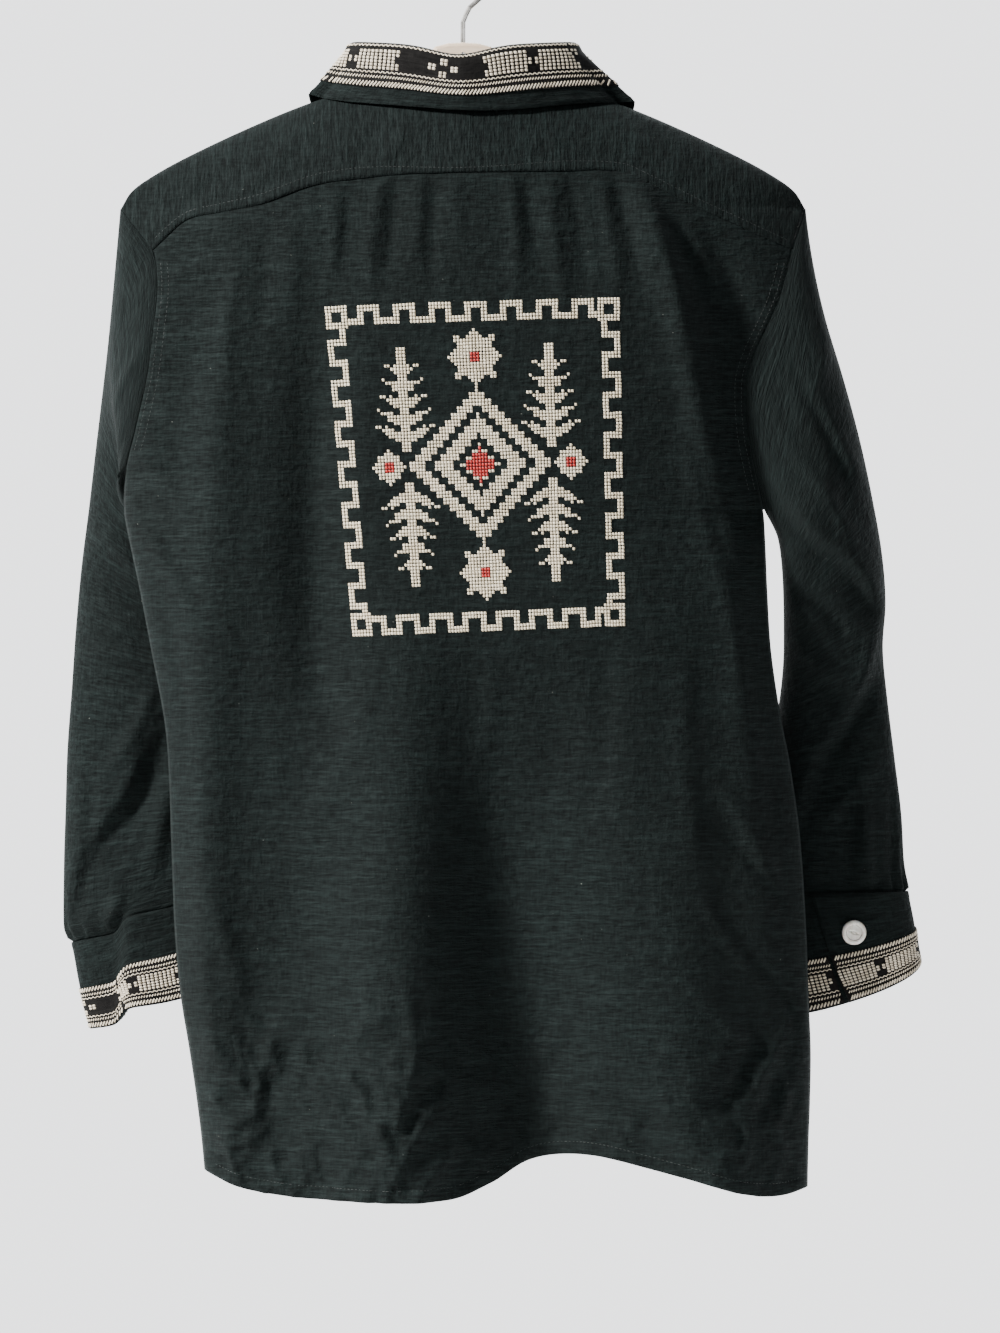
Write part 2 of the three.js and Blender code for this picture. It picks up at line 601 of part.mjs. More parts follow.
// A closed wall: the outer skin follows the points, the inner one lies a thickness behind it.
// The points form rows; "used" leaves cells out, "ring" joins the last column to the first.
// "seam" gives the normal that a vertex on a seam shares with the neighbouring piece.
function wall(rows, thick, { ring = false, used = () => true, flip = false, seam = () => null } = {}) {
  const down = rows.length;
  const across = rows[0].length;
  const cells = ring ? across : across - 1;
  const has = (i, j) => i >= 0 && i < down - 1 && (ring || (j >= 0 && j < cells)) && used(i, (j + cells) % cells);
  const normals = rows.map((row) => row.map(() => new THREE.Vector3()));
  const side = flip ? -1 : 1;
  for (let i = 0; i < down - 1; i += 1)
    for (let j = 0; j < cells; j += 1) {
      if (!has(i, j)) continue;
      const k = (j + 1) % across;
      const a = rows[i + 1][k].clone().sub(rows[i][j]);
      const b = rows[i + 1][j].clone().sub(rows[i][k]);
      const normal = b.cross(a).normalize().multiplyScalar(side);
      for (const [p, q] of [[i, j], [i, k], [i + 1, j], [i + 1, k]]) normals[p][q].add(normal);
    }
  const position = [];
  const outer = [];
  const inner = [];
  rows.forEach((row, i) => {
    outer.push([]);
    inner.push([]);
    row.forEach((point, j) => {
      const normal = seam(i, j, point) || normals[i][j].normalize();
      const back = point.clone().addScaledVector(normal, -thick);
      outer[i].push(position.length / 3);
      position.push(point.x, point.y, point.z);
      inner[i].push(position.length / 3);
      position.push(back.x, back.y, back.z);
    });
  });
  const index = [];
  const quad = (a, b, c, d) => (flip ? index.push(a, c, b, a, d, c) : index.push(a, b, c, a, c, d));
  for (let i = 0; i < down - 1; i += 1)
    for (let j = 0; j < cells; j += 1) {
      if (!has(i, j)) continue;
      const k = (j + 1) % across;
      quad(outer[i][j], outer[i + 1][j], outer[i + 1][k], outer[i][k]);
      quad(inner[i][j], inner[i][k], inner[i + 1][k], inner[i + 1][j]);
      if (!has(i - 1, j)) quad(outer[i][j], outer[i][k], inner[i][k], inner[i][j]);
      if (!has(i + 1, j)) quad(outer[i + 1][k], outer[i + 1][j], inner[i + 1][j], inner[i + 1][k]);
      if (!has(i, j - 1)) quad(outer[i + 1][j], outer[i][j], inner[i][j], inner[i + 1][j]);
      if (!has(i, j + 1)) quad(outer[i][k], outer[i + 1][k], inner[i + 1][k], inner[i][k]);
    }
  return solid(position, index);
}

function solid(position, index) {
  const used = new Map();
  const kept = [];
  const remapped = index.map((k) => {
    if (!used.has(k)) {
      used.set(k, kept.length / 3);
      kept.push(position[3 * k], position[3 * k + 1], position[3 * k + 2]);
    }
    return used.get(k);
  });
  const geometry = new THREE.BufferGeometry();
  geometry.setAttribute("position", new THREE.Float32BufferAttribute(kept, 3));
  geometry.setIndex(remapped);
  geometry.computeVertexNormals();
  return geometry;
}

// Rows of points from a function of two counts.
const sheet = (downCount, acrossCount, place) =>
  Array.from({ length: downCount + 1 }, (_, i) =>
    Array.from({ length: acrossCount + 1 }, (_, j) => place(i, j)),
  );

// A round solid along a path that lies in the XZ plane, with pointed caps.
function rod(path, radius, sides) {
  const position = [];
  const index = [];
  const across = new THREE.Vector3(0, 1, 0);
  path.forEach((point, i) => {
    const before = path[Math.max(0, i - 1)];
    const after = path[Math.min(path.length - 1, i + 1)];
    const along = after.clone().sub(before).normalize();
    const side = new THREE.Vector3().crossVectors(along, across);
    for (let k = 0; k < sides; k += 1) {
      const angle = (2 * Math.PI * k) / sides;
      const p = point
        .clone()
        .addScaledVector(across, radius * Math.cos(angle))
        .addScaledVector(side, radius * Math.sin(angle));
      position.push(p.x, p.y, p.z);
    }
  });
  for (let i = 0; i < path.length - 1; i += 1)
    for (let k = 0; k < sides; k += 1) {
      const a = i * sides + k;
      const b = i * sides + ((k + 1) % sides);
      index.push(a, b, b + sides, a, b + sides, a + sides);
    }
  const last = (path.length - 1) * sides;
  for (let k = 1; k < sides - 1; k += 1) {
    index.push(0, k + 1, k);
    index.push(last, last + k, last + k + 1);
  }
  return solid(position, index);
}

// A turned solid about +Y, from its lower pole to its upper one.
function turned(profile, sides) {
  const position = [0, profile[0].height, 0, 0, profile[profile.length - 1].height, 0];
  const index = [];
  const rings = profile.slice(1, -1);
  rings.forEach(({ radius, height }) => {
    for (let k = 0; k < sides; k += 1) {
      const angle = (2 * Math.PI * k) / sides;
      position.push(radius * Math.cos(angle), height, -radius * Math.sin(angle));
    }
  });
  const at = (ring, k) => 2 + ring * sides + (k % sides);
  for (let k = 0; k < sides; k += 1) {
    index.push(0, at(0, k + 1), at(0, k));
    index.push(1, at(rings.length - 1, k), at(rings.length - 1, k + 1));
    for (let r = 0; r < rings.length - 1; r += 1)
      index.push(at(r, k), at(r, k + 1), at(r + 1, k + 1), at(r, k), at(r + 1, k + 1), at(r + 1, k));
  }
  return solid(position, index);
}

const group = new THREE.Group();
const CLOTH_LOOK = { color: 0x26302f, roughness: 0.92, metalness: 0 };
const TRIM_LOOK = { color: 0xcfc8ba, roughness: 0.85, metalness: 0 };
const BUTTON_LOOK = { color: 0xe9e2d4, roughness: 0.35, metalness: 0 };
const WOOD_LOOK = { color: 0xdcc39a, roughness: 0.5, metalness: 0 };
const STEEL_LOOK = { color: 0xb8babd, roughness: 0.25, metalness: 1 };

function add(name, geometry, look) {
  const mesh = new THREE.Mesh(geometry, new THREE.MeshStandardMaterial(look));
  mesh.name = name;
  group.add(mesh);
  return mesh;
}

// Back, yoke and fronts.
const bodySeam = (face, side) => (i, j, point) => {
  if (i === 0) return faceNormal(face, point.x, -point.z);
  return i >= UPPER_ROWS && side(j) ? new THREE.Vector3(side(j), 0, 0) : null;
};
add(
  "back",
  wall(
    sheet(UPPER_ROWS + LOWER_ROWS, COLUMNS, (i, j) => backPoint(j, i / (UPPER_ROWS + LOWER_ROWS))),
    CLOTH,
    { seam: bodySeam("back", (j) => (j === 0 ? -1 : j === COLUMNS ? 1 : 0)) },
  ),
  CLOTH_LOOK,
);
add(
  "yoke",
  wall(
    sheet(YOKE_BACK_ROWS + YOKE_FRONT_ROWS, COLUMNS, (i, j) =>
      yokePoint(
        j,
        i <= YOKE_FRONT_ROWS
          ? (YOKE_FRONT_ROWS - i) / YOKE_FRONT_ROWS
          : -(i - YOKE_FRONT_ROWS) / YOKE_BACK_ROWS,
      ),
    ),
    CLOTH,
    {
      used: (i, j) =>
        i >= YOKE_FRONT_ROWS || j < WING_COLUMNS || j >= WING_COLUMNS + NECK_COLUMNS,
      seam: (i, j, point) =>
        i === 0
          ? faceNormal("front", point.x, -point.z)
          : i === YOKE_FRONT_ROWS + YOKE_BACK_ROWS
            ? faceNormal("back", point.x, -point.z)
            : null,
    },
  ),
  CLOTH_LOOK,
);
for (const side of [-1, 1])
  add(
    side < 0 ? "front_left" : "front_right",
    wall(
      sheet(UPPER_ROWS + LOWER_ROWS, WING_COLUMNS, (i, j) =>
        frontPoint(side, j / WING_COLUMNS, i / (UPPER_ROWS + LOWER_ROWS)),
      ),
      CLOTH,
      { flip: side > 0, seam: bodySeam("front", (j) => (j === WING_COLUMNS ? side : 0)) },
    ),
    CLOTH_LOOK,
  );

// The front band lies on both fronts and carries the buttons.
const BAND_TOP = NECK_FRONT + 4;
const bandMiddle = BAND_WIDTH / 2 - FRONT_EDGE - 3;
function bandPoint(across, drop, lift) {
  const point = onFront(bandMiddle + (across * BAND_WIDTH) / 2, drop);
  point.y += SEAM_GAP / 2 + LAY_GAP + lift;
  return point;
}
add(
  "front_band",
  wall(
    sheet(LOWER_ROWS + 5, 3, (i, j) =>
      bandPoint(1 - (2 * j) / 3, mix(BAND_TOP, FRONT_HEM, i / (LOWER_ROWS + 5)), TRIM + 0.2),
    ),
    TRIM,
  ),
  CLOTH_LOOK,
);

// Sleeves and cuffs.
const SLEEVE_END = CUFF_ROW - 0.01;
for (const side of [-1, 1]) {
  const name = side < 0 ? "left" : "right";
  const rings = sheet(17, RING - 1, (i, j) => sleevePoint(side, (SLEEVE_END * i) / 17, j / RING));
  add("sleeve_" + name, wall(rings, CLOTH, { ring: true, flip: side > 0 }), CLOTH_LOOK);
  const flip = side < 0;
  const trimFrom = mix(CUFF_ROW, CUFF_END, TRIM_TOP);
  const trimMiddle = (trimFrom + CUFF_END) / 2;
  const strip = (rows, steps, lift) =>
    rows.map((t) =>
      Array.from({ length: steps + 1 }, (_, j) =>
        cuffPoint(side, t, steps === CUFF_STEPS && j === steps ? 0.985 : j / CUFF_STEPS, lift),
      ),
    );
  add(
    "cuff_" + name,
    wall(
      strip([CUFF_ROW + 0.006, trimFrom, trimMiddle, CUFF_END], CUFF_STEPS + CUFF_LAP, MADE_UP / 2),
      MADE_UP,
      { flip },
    ),
    CLOTH_LOOK,
  );
  const trimLift = MADE_UP / 2 + LAY_GAP + 0.1 + TRIM;
  add(
    "cuff_trim_" + name,
    wall(strip([trimFrom, trimMiddle, CUFF_END - 0.02], CUFF_STEPS, trimLift), TRIM, { flip }),
    TRIM_LOOK,
  );
}

// Collar stand, turned-down collar and its trim.
const radians = (degrees) => (degrees * Math.PI) / 180;
add(
  "collar_stand",
  wall(
    sheet(2, 36, (i, j) => standPoint(radians((j - 18) * COLLAR_STEP), 1 - i / 2)),
    MADE_UP,
  ),
  CLOTH_LOOK,
);
const FALL_ROWS = [0, 0.05, 0.1, 0.17, 0.45, 0.74, 1];
const fallAngles = (j) => radians((j - 16) * COLLAR_STEP);
add(
  "collar",
  wall(
    FALL_ROWS.map((v) => Array.from({ length: 33 }, (_, j) => fallPoint(fallAngles(j), v, 0))),
    MADE_UP,
  ),
  CLOTH_LOOK,
);
const trimRows = FALL_ROWS.filter((v) => v >= FALL_TRIM.from && v <= FALL_TRIM.to);
add(
  "collar_trim",
  wall(
    trimRows.map((v) =>
      Array.from({ length: 33 }, (_, j) => fallPoint(fallAngles(j), v, LAY_GAP + 0.3 + TRIM)),
    ),
    TRIM,
  ),
  TRIM_LOOK,
);

// Buttons: six down the band, one on each cuff.
function button(name, place, facing) {
  const mesh = add(
    name,
    turned(
      [
        { radius: 0, height: 0 },
        { radius: BUTTON.radius - 1.2, height: 0 },
        { radius: BUTTON.radius, height: 1.2 },
        { radius: BUTTON.radius - 0.6, height: BUTTON.thick },
        { radius: BUTTON.radius - 0.6 - BUTTON.rim, height: BUTTON.thick },
        { radius: BUTTON.radius - 1.6 - BUTTON.rim, height: BUTTON.thick - BUTTON.dish },
        { radius: 0, height: BUTTON.thick - BUTTON.dish },
      ],
      16,
    ),
    BUTTON_LOOK,
  );
  mesh.quaternion.setFromUnitVectors(new THREE.Vector3(0, 1, 0), facing);
  mesh.position.copy(place);
}
for (let k = 0; k < FRONT_BUTTONS.count; k += 1) {
  const drop = FRONT_BUTTONS.first + k * FRONT_BUTTONS.pitch;
  const place = bandPoint(0, drop, TRIM + 0.3 + LAY_GAP);
  button("front_button_" + (k + 1), place, faceNormal("front", place.x, drop));
}
for (const side of [-1, 1]) {
  const at = CUFF_ROW + (side < 0 ? 0.68 : 0.8);
  const g = 0.05;
  const wrap = side < 0 ? CUFF_WRAPS.left : CUFF_WRAPS.right;
  const facing = ringNormal(side, at, wrap.start + wrap.direction * g);
  const place = cuffPoint(side, at, g, MADE_UP / 2 + LAY_GAP + 0.6);
  button(side < 0 ? "cuff_button_left" : "cuff_button_right", place, facing);
}

// Hanger: shaped arms with a raised middle, a steel hook and the pin that holds it.
const HANGER_TOP = [
  { x: 0, drop: HANGER.hump },
  { x: 12, drop: 62.8 },
  { x: 21.5, drop: 66.5 },
  { x: 26, drop: 75 },
  { x: 34, drop: 84 },
  { x: 50, drop: 93 },
  { x: 72, drop: 97 },
  { x: 107, drop: 107.6 },
  { x: 148, drop: 124.6 },
  { x: 190, drop: 146.4 },
  { x: 206, drop: 157 },
  { x: 214, drop: 167 },
];
const hangerHeight = (x) => mix(44, 13, ease(x / 190));
const outline = [];
const hangerSteps = [0, 10, 19, 24, 29, 36, 50, 72, 107, 148, 190, 202, 209];
const upper = hangerSteps.map((x) => ({ x, drop: read(HANGER_TOP, "x", x, "drop") }));
const lower = [0, 36, 72, 107, 148, 190, 202].map((x) => ({
  x,
  drop: read(HANGER_TOP, "x", Math.max(x, 60), "drop") + hangerHeight(x) + (x < 60 ? (60 - x) * -0.12 : 0),
}));
for (const p of upper) outline.push(new THREE.Vector2(p.x, -p.drop));
for (const p of lower.slice().reverse()) outline.push(new THREE.Vector2(p.x, -p.drop));
for (const p of lower.slice(1)) outline.push(new THREE.Vector2(-p.x, -p.drop));
for (const p of upper.slice(1).reverse()) outline.push(new THREE.Vector2(-p.x, -p.drop));
const arms = new THREE.ExtrudeGeometry(new THREE.Shape(outline), {
  depth: HANGER.thick - 2 * HANGER.bevel,
  bevelEnabled: true,
  bevelThickness: HANGER.bevel,
  bevelSize: HANGER.bevel,
  bevelOffset: -HANGER.bevel,
  bevelSegments: 2,
  steps: 1,
});
arms.translate(0, 0, -(HANGER.thick / 2 - HANGER.bevel));
arms.rotateX(Math.PI / 2);
add("hanger", arms, WOOD_LOOK);

const hookPath = [];
hookPath.push(new THREE.Vector3(0, 0, -HOOK.stem));
hookPath.push(new THREE.Vector3(0, 0, -48));
const hookMiddle = HOOK.radius - HOOK.wire;
for (let k = 0; k <= 4; k += 1) {
  const f = k / 4;
  hookPath.push(new THREE.Vector3(mix(2, HOOK.radius - 0.4, ease(f)), 0, mix(-43, -hookMiddle - 6, f)));
}
for (let k = 0; k <= 12; k += 1) {
  const angle = radians(mix(0, 205, k / 12));
  hookPath.push(
    new THREE.Vector3(
      HOOK.radius * Math.cos(angle),
      0,
      -hookMiddle + HOOK.radius * Math.sin(angle),
    ),
  );
}
add("hook", rod(hookPath, HOOK.wire, 12), STEEL_LOOK);
const pin = add(
  "hook_pin",
  turned(
    [
      { radius: 0, height: 0 },
      { radius: 1.5, height: 0 },
      { radius: 1.2, height: 0.9 },
      { radius: 0, height: 1.1 },
    ],
    12,
  ),
  STEEL_LOOK,
);
pin.rotation.x = Math.PI;
pin.position.set(0, -HANGER.thick / 2 - LAY_GAP, -70);

export default group;
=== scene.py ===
"""Embroidered button-down shirt on a wooden hanger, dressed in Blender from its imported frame.

The sizes are in millimetres in the tables below and in metres in the meshes. +X is to the right of a viewer
who looks at the shirt's back, +Y goes from its back to its front, and "drop" is a distance below the hook.
"""

from __future__ import annotations

import logging
import math
from dataclasses import dataclass, field, fields
from enum import Enum
from functools import partial
from typing import Callable, Sequence

import bmesh
import bpy
import numpy as np
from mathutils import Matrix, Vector


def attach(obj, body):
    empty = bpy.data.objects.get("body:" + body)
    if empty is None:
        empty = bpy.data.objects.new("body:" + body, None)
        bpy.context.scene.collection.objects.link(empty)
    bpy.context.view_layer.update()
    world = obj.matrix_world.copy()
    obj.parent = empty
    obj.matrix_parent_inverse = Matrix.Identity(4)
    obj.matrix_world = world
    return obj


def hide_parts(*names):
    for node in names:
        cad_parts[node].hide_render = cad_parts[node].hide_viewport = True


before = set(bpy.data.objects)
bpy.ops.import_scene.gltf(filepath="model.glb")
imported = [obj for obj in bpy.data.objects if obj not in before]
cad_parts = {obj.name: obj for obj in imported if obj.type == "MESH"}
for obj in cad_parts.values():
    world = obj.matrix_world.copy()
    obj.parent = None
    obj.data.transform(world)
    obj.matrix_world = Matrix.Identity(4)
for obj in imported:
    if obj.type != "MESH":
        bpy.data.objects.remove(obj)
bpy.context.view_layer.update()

log = logging.getLogger("shirt")

MM = 0.001
SHOULDER_HALF = 232.6
BODY_HALF = 215.0
NECK_HALF = 72.0
NECK_SIDE = 93.0
NECK_BACK = 104.0
NECK_FRONT = 141.0
FRONT_SEAM = 108.0
SIDE_SEAM_TOP = 202.0
FRONT_EDGE = 15.0
BAND_WIDTH = 33.0
FRONT_HEM = 806.0
HANGER_RADIUS = 9.0
SHOULDER_LEAN = 0.8
MADE_UP = 1.8
FOLD_HALF = 75.0
FALL_HALF = 111.0
COLLAR_END = 171.0
CUFF_ROW = 14.0
CUFF_END = 16.0
TRIM_TOP = 0.52
TRIM_WIDTH = 40.6
TRIM_LIFT = 0.75
CUFF_LAP = 3 / 23
LEFT_BEND = -234.5
STAND_LAP = 12.375
ROLL_END = 0.17
SUNK = 0.15
YOKE_TOP = 0.4
CRUMPLE_TOP = 690.0

Array = np.ndarray
Surface = Callable[[Array, Array], Array]
FlatCut = Callable[[Array, Array, Array], Array]
Ribboned = tuple[Surface, float, float]
Material = bpy.types.Material
Socket = bpy.types.NodeSocket


class Face(Enum):
    """The two faces of the hanging body."""

    BACK = "back"
    FRONT = "front"


class Side(Enum):
    """The two sides of the shirt, as seen from its back."""

    LEFT = -1
    RIGHT = 1


@dataclass(frozen=True)
class LineRow:
    """One point of a line whose drop depends on x."""

    x: float
    drop: float


@dataclass(frozen=True)
class EdgeRow:
    """Left and right edge of the body at one drop."""

    drop: float
    left: float
    right: float


@dataclass(frozen=True)
class DepthRow:
    """How far back and front stand from the middle plane at one drop."""

    drop: float
    back: float
    front: float


@dataclass(frozen=True)
class FoldRow:
    """One station of a large fold; a negative height is a hollow."""

    drop: float
    x: float
    wide: float
    high: float


@dataclass(frozen=True)
class SleeveRow:
    """One ring of a sleeve: its outer and inner edge, its middle's place in depth and its half depth."""

    at: float
    out_x: float
    out_drop: float
    in_x: float
    in_drop: float
    mid_y: float
    deep: float
    sag: float = 0.0


@dataclass(frozen=True)
class Crease:
    """A soft crease from one place to another: width and height at its middle, and how far it bows."""

    x0: float
    drop0: float
    x1: float
    drop1: float
    wide: float
    high: float
    bow: float = 0.0


@dataclass(frozen=True)
class Overhang:
    """A sleeve fold where the upper cloth hangs over the lower."""

    x0: float
    drop0: float
    x1: float
    drop1: float
    over: float
    under: float
    reach: float


@dataclass(frozen=True)
class FaceShape:
    """How full the back or the front hangs: its power across, and its rounding below the armholes."""

    power: float
    rounding: float


@dataclass(frozen=True)
class Armhole:
    """Where an armhole starts and ends, and how far it gapes to the back and to the front."""

    top: float
    under: float
    back: float
    front: float


def table(kind: type, *rows: Sequence[float]) -> tuple:
    """Rows of a table as objects of one kind."""
    return tuple(kind(*row) for row in rows)


SHOULDER_LINE = table(
    LineRow,
    (0, 72), (36, 80), (72, 93), (107, 104), (148, 121), (190, 141), (213, 154), (226, 164),
    (232.6, 175),
)
YOKE_SEAM = table(
    LineRow,
    (-211, 203), (-188, 183), (-163, 177.5), (-137, 172.5), (-101, 160), (-69, 155.5), (-33, 152.5),
    (67, 150.5), (108, 150.5), (127, 158.5), (154, 172), (197, 191), (224, 202),
)
BACK_HEM = table(
    LineRow,
    (-180, 826), (-152, 838), (-125, 843), (-100, 845), (-10, 845), (20, 834), (42, 821), (66, 816),
    (93, 817), (127, 825), (165, 835), (190, 842), (215, 844), (236, 839),
)
BODY_EDGES = table(
    EdgeRow,
    (175, -232.6, 232.6), (202, -211, 223.7), (220, -207, 219), (237, -207, 214), (255, -209, 206),
    (272, -211, 198), (292, -214, 192), (326, -222, 193), (353, -229, 198), (380, -230.5, 204),
    (400, -227, 205.5), (435, -219.6, 207), (475, -212, 209.5), (520, -203.5, 216), (550, -200.5, 222),
    (600, -198.6, 229), (666, -196, 233.5), (710, -192, 235), (747, -186, 236.5), (781, -181, 236),
    (810, -177.5, 235), (860, -173, 234),
)
BODY_DEPTH = table(
    DepthRow,
    (60, 46, 42), (150, 48, 44), (250, 52, 50), (400, 50, 55), (600, 44, 60), (860, 50, 66),
)
FACE_SHAPES = {Face.BACK: FaceShape(2.6, 0.55), Face.FRONT: FaceShape(2.2, 0.72)}
ARMHOLES = {
    Side.LEFT: Armhole(175, 353, 26, 32),
    Side.RIGHT: Armhole(175, 380, 21, 32),
}
BACK_FOLDS = (
    table(
        FoldRow,
        (150, 116, 12, 1), (203, 133, 16, 6), (258, 156, 18, 11), (319, 170, 18, 13),
        (387, 184, 17, 11), (441, 196, 16, 7), (545, 210, 16, 3), (640, 222, 16, 0),
    ),
    table(
        FoldRow,
        (175, 165, 18, 0), (215, 174, 20, -7), (270, 190, 18, -12), (330, 203, 14, -10),
        (380, 212, 12, 0),
    ),
    table(
        FoldRow,
        (190, -180, 18, 0), (240, -178, 18, -5), (320, -190, 16, -5), (430, -196, 16, 0),
    ),
    table(
        FoldRow,
        (185, -96, 16, 0), (320, -98, 18, -6), (430, -98, 18, -5), (540, -96, 16, 0),
    ),
    table(
        FoldRow,
        (430, -32, 40, 0), (560, -44, 38, 10), (700, -50, 35, 18), (860, -46, 36, 24),
    ),
    table(
        FoldRow,
        (460, 8, 34, 0), (600, 24, 34, -14), (740, 42, 36, -24), (860, 62, 42, -30),
    ),
    table(
        FoldRow,
        (430, 112, 40, 0), (600, 128, 40, 7), (740, 144, 36, 11), (860, 186, 30, 15),
    ),
    table(
        FoldRow,
        (430, -152, 28, 0), (600, -142, 30, -8), (740, -132, 26, -9), (860, -122, 20, -4),
    ),
)
FRONT_FOLDS = (
    (FoldRow(300, -110, 30, 0), FoldRow(560, -104, 34, 8), FoldRow(860, -96, 36, 16)),
    (FoldRow(360, 120, 30, 0), FoldRow(600, 114, 34, 9), FoldRow(860, 104, 36, 15)),
    (FoldRow(420, 52, 26, 0), FoldRow(640, 50, 28, -7), FoldRow(860, 50, 30, -13)),
)
SLEEVES = {
    Side.LEFT: table(
        SleeveRow,
        (0, -233.1, 177, -231, 354, 0, 28), (1, -236, 206, -236, 359, 6, 29),
        (2, -239, 234, -237, 366, 15, 28), (3, -242.5, 264, -231, 377, 26, 27),
        (4, -247, 298, -218, 392, 36, 26), (5, -252, 336, -203, 412, 44, 26),
        (6, -257, 376, -185, 436, 50, 26), (7, -262.5, 418, -174, 462, 54, 26),
        (8, -266.5, 460, -165, 490, 57, 25), (9, -269.5, 502, -159, 519, 59, 24),
        (10, -272.5, 543, -156, 548, 60, 23), (11, -273.8, 584, -155, 577, 61, 23),
        (12, -275, 624, -157, 604, 62, 22), (13, -274.5, 662, -162, 630, 62, 20),
        (14, -269, 675, -162, 638, 62, 18), (15, -263, 705, -160, 668, 62, 18),
        (16, -256, 733, -156, 703, 62, 19),
    ),
    Side.RIGHT: table(
        SleeveRow,
        (0, 233.1, 176, 204.6, 381, 0, 26), (1, 236, 204, 207.5, 386, 1, 28),
        (2, 241, 230, 211, 391, 3, 29), (3, 249, 258, 214, 398, 5, 30), (4, 259, 290, 216, 408, 8, 31),
        (5, 270, 330, 217.5, 422, 12, 31), (6, 279, 370, 218.5, 440, 18, 30),
        (7, 286, 408, 219, 460, 25, 28), (8, 289, 442, 219, 482, 32, 25),
        (9, 287.5, 474, 217, 506, 38, 23), (10, 291, 510, 213, 532, 42, 22),
        (11, 296, 550, 209, 562, 44, 22), (12, 300.6, 588, 206, 592, 45, 22),
        (13, 302, 622, 204, 622, 45, 21), (14, 303.5, 640, 206, 642, 44, 18),
        (15, 307.5, 662, 208, 680, 44, 18, 6), (16, 312, 689, 210, 720, 44, 19, 12),
    ),
}
OVERHANGS = {
    Side.LEFT: (Overhang(-219, 549, -270, 645, 6, 3, 40),),
    Side.RIGHT: (
        Overhang(222, 380, 284, 444, 9, 7, 46),
        Overhang(285, 478, 226, 596, 5, 3, 30),
    ),
}
CUFF_START = {Side.LEFT: 0.78, Side.RIGHT: 0.285}
ARMHOLE_STEPS = 21
UNDERARM_STEP = 11
YOKE_BACK_SHARE = 4 / ARMHOLE_STEPS
UNDERARM_SHARE = UNDERARM_STEP / ARMHOLE_STEPS
YOKE_FRONT_SHARE = 3 / ARMHOLE_STEPS
UPPER_SHARE = 7 / 20
NECK_SHARE = 3 / 20


class Track:
    """Smooth columns of a short table along its key column."""

    def __init__(self, rows: Sequence[object], key: str) -> None:
        """Read the rows.

        Args:
            rows: Dataclass rows in the order of their key.
            key: Name of the key column.
        """
        self.knots = np.array([getattr(row, key) for row in rows], float)
        names = [item.name for item in fields(rows[0]) if item.name != key]
        self.columns = {name: np.array([getattr(row, name) for row in rows], float) for name in names}

    def read(self, name: str, at: Array) -> Array:
        """Value of a column.

        Args:
            name: The column.
            at: Places along the key, held inside the table.

        Returns:
            The column's smooth value at each place.
        """
        knots, values = self.knots, self.columns[name]
        last = len(knots) - 1
        x = np.clip(np.asarray(at, float), knots[0], knots[-1])
        i = np.searchsorted(knots[1:-1], x, side="left")
        low = np.maximum(np.arange(last + 1) - 1, 0)
        high = np.minimum(np.arange(last + 1) + 1, last)
        slope = (values[high] - values[low]) / (knots[high] - knots[low])
        width = knots[i + 1] - knots[i]
        f = (x - knots[i]) / width
        f2, f3 = f * f, f * f * f
        return (
            values[i] * (2 * f3 - 3 * f2 + 1)
            + values[i + 1] * (3 * f2 - 2 * f3)
            + width * (slope[i] * (f3 - 2 * f2 + f) + slope[i + 1] * (f3 - f2))
        )


def mix(a: Array, b: Array, f: Array) -> Array:
    """Blend two values."""
    return a + (b - a) * f


def ease(f: Array) -> Array:
    """Smooth step."""
    x = np.clip(f, 0.0, 1.0)
    return x * x * (3 - 2 * x)


def bell(away: Array, wide: float) -> Array:
    """1 in the middle and a smooth fall to 0 past the width."""
    return np.exp(-((away / wide) ** 2))


def stack(x: Array, y: Array, drop: Array) -> Array:
    """Points from their coordinates."""
    x, y, drop = np.broadcast_arrays(x, y, drop)
    return np.stack([x, y, -drop], axis=-1).astype(float)


def unit(vectors: Array) -> Array:
    """Vectors of length 1."""
    return vectors / np.maximum(np.linalg.norm(vectors, axis=-1, keepdims=True), 1e-9)


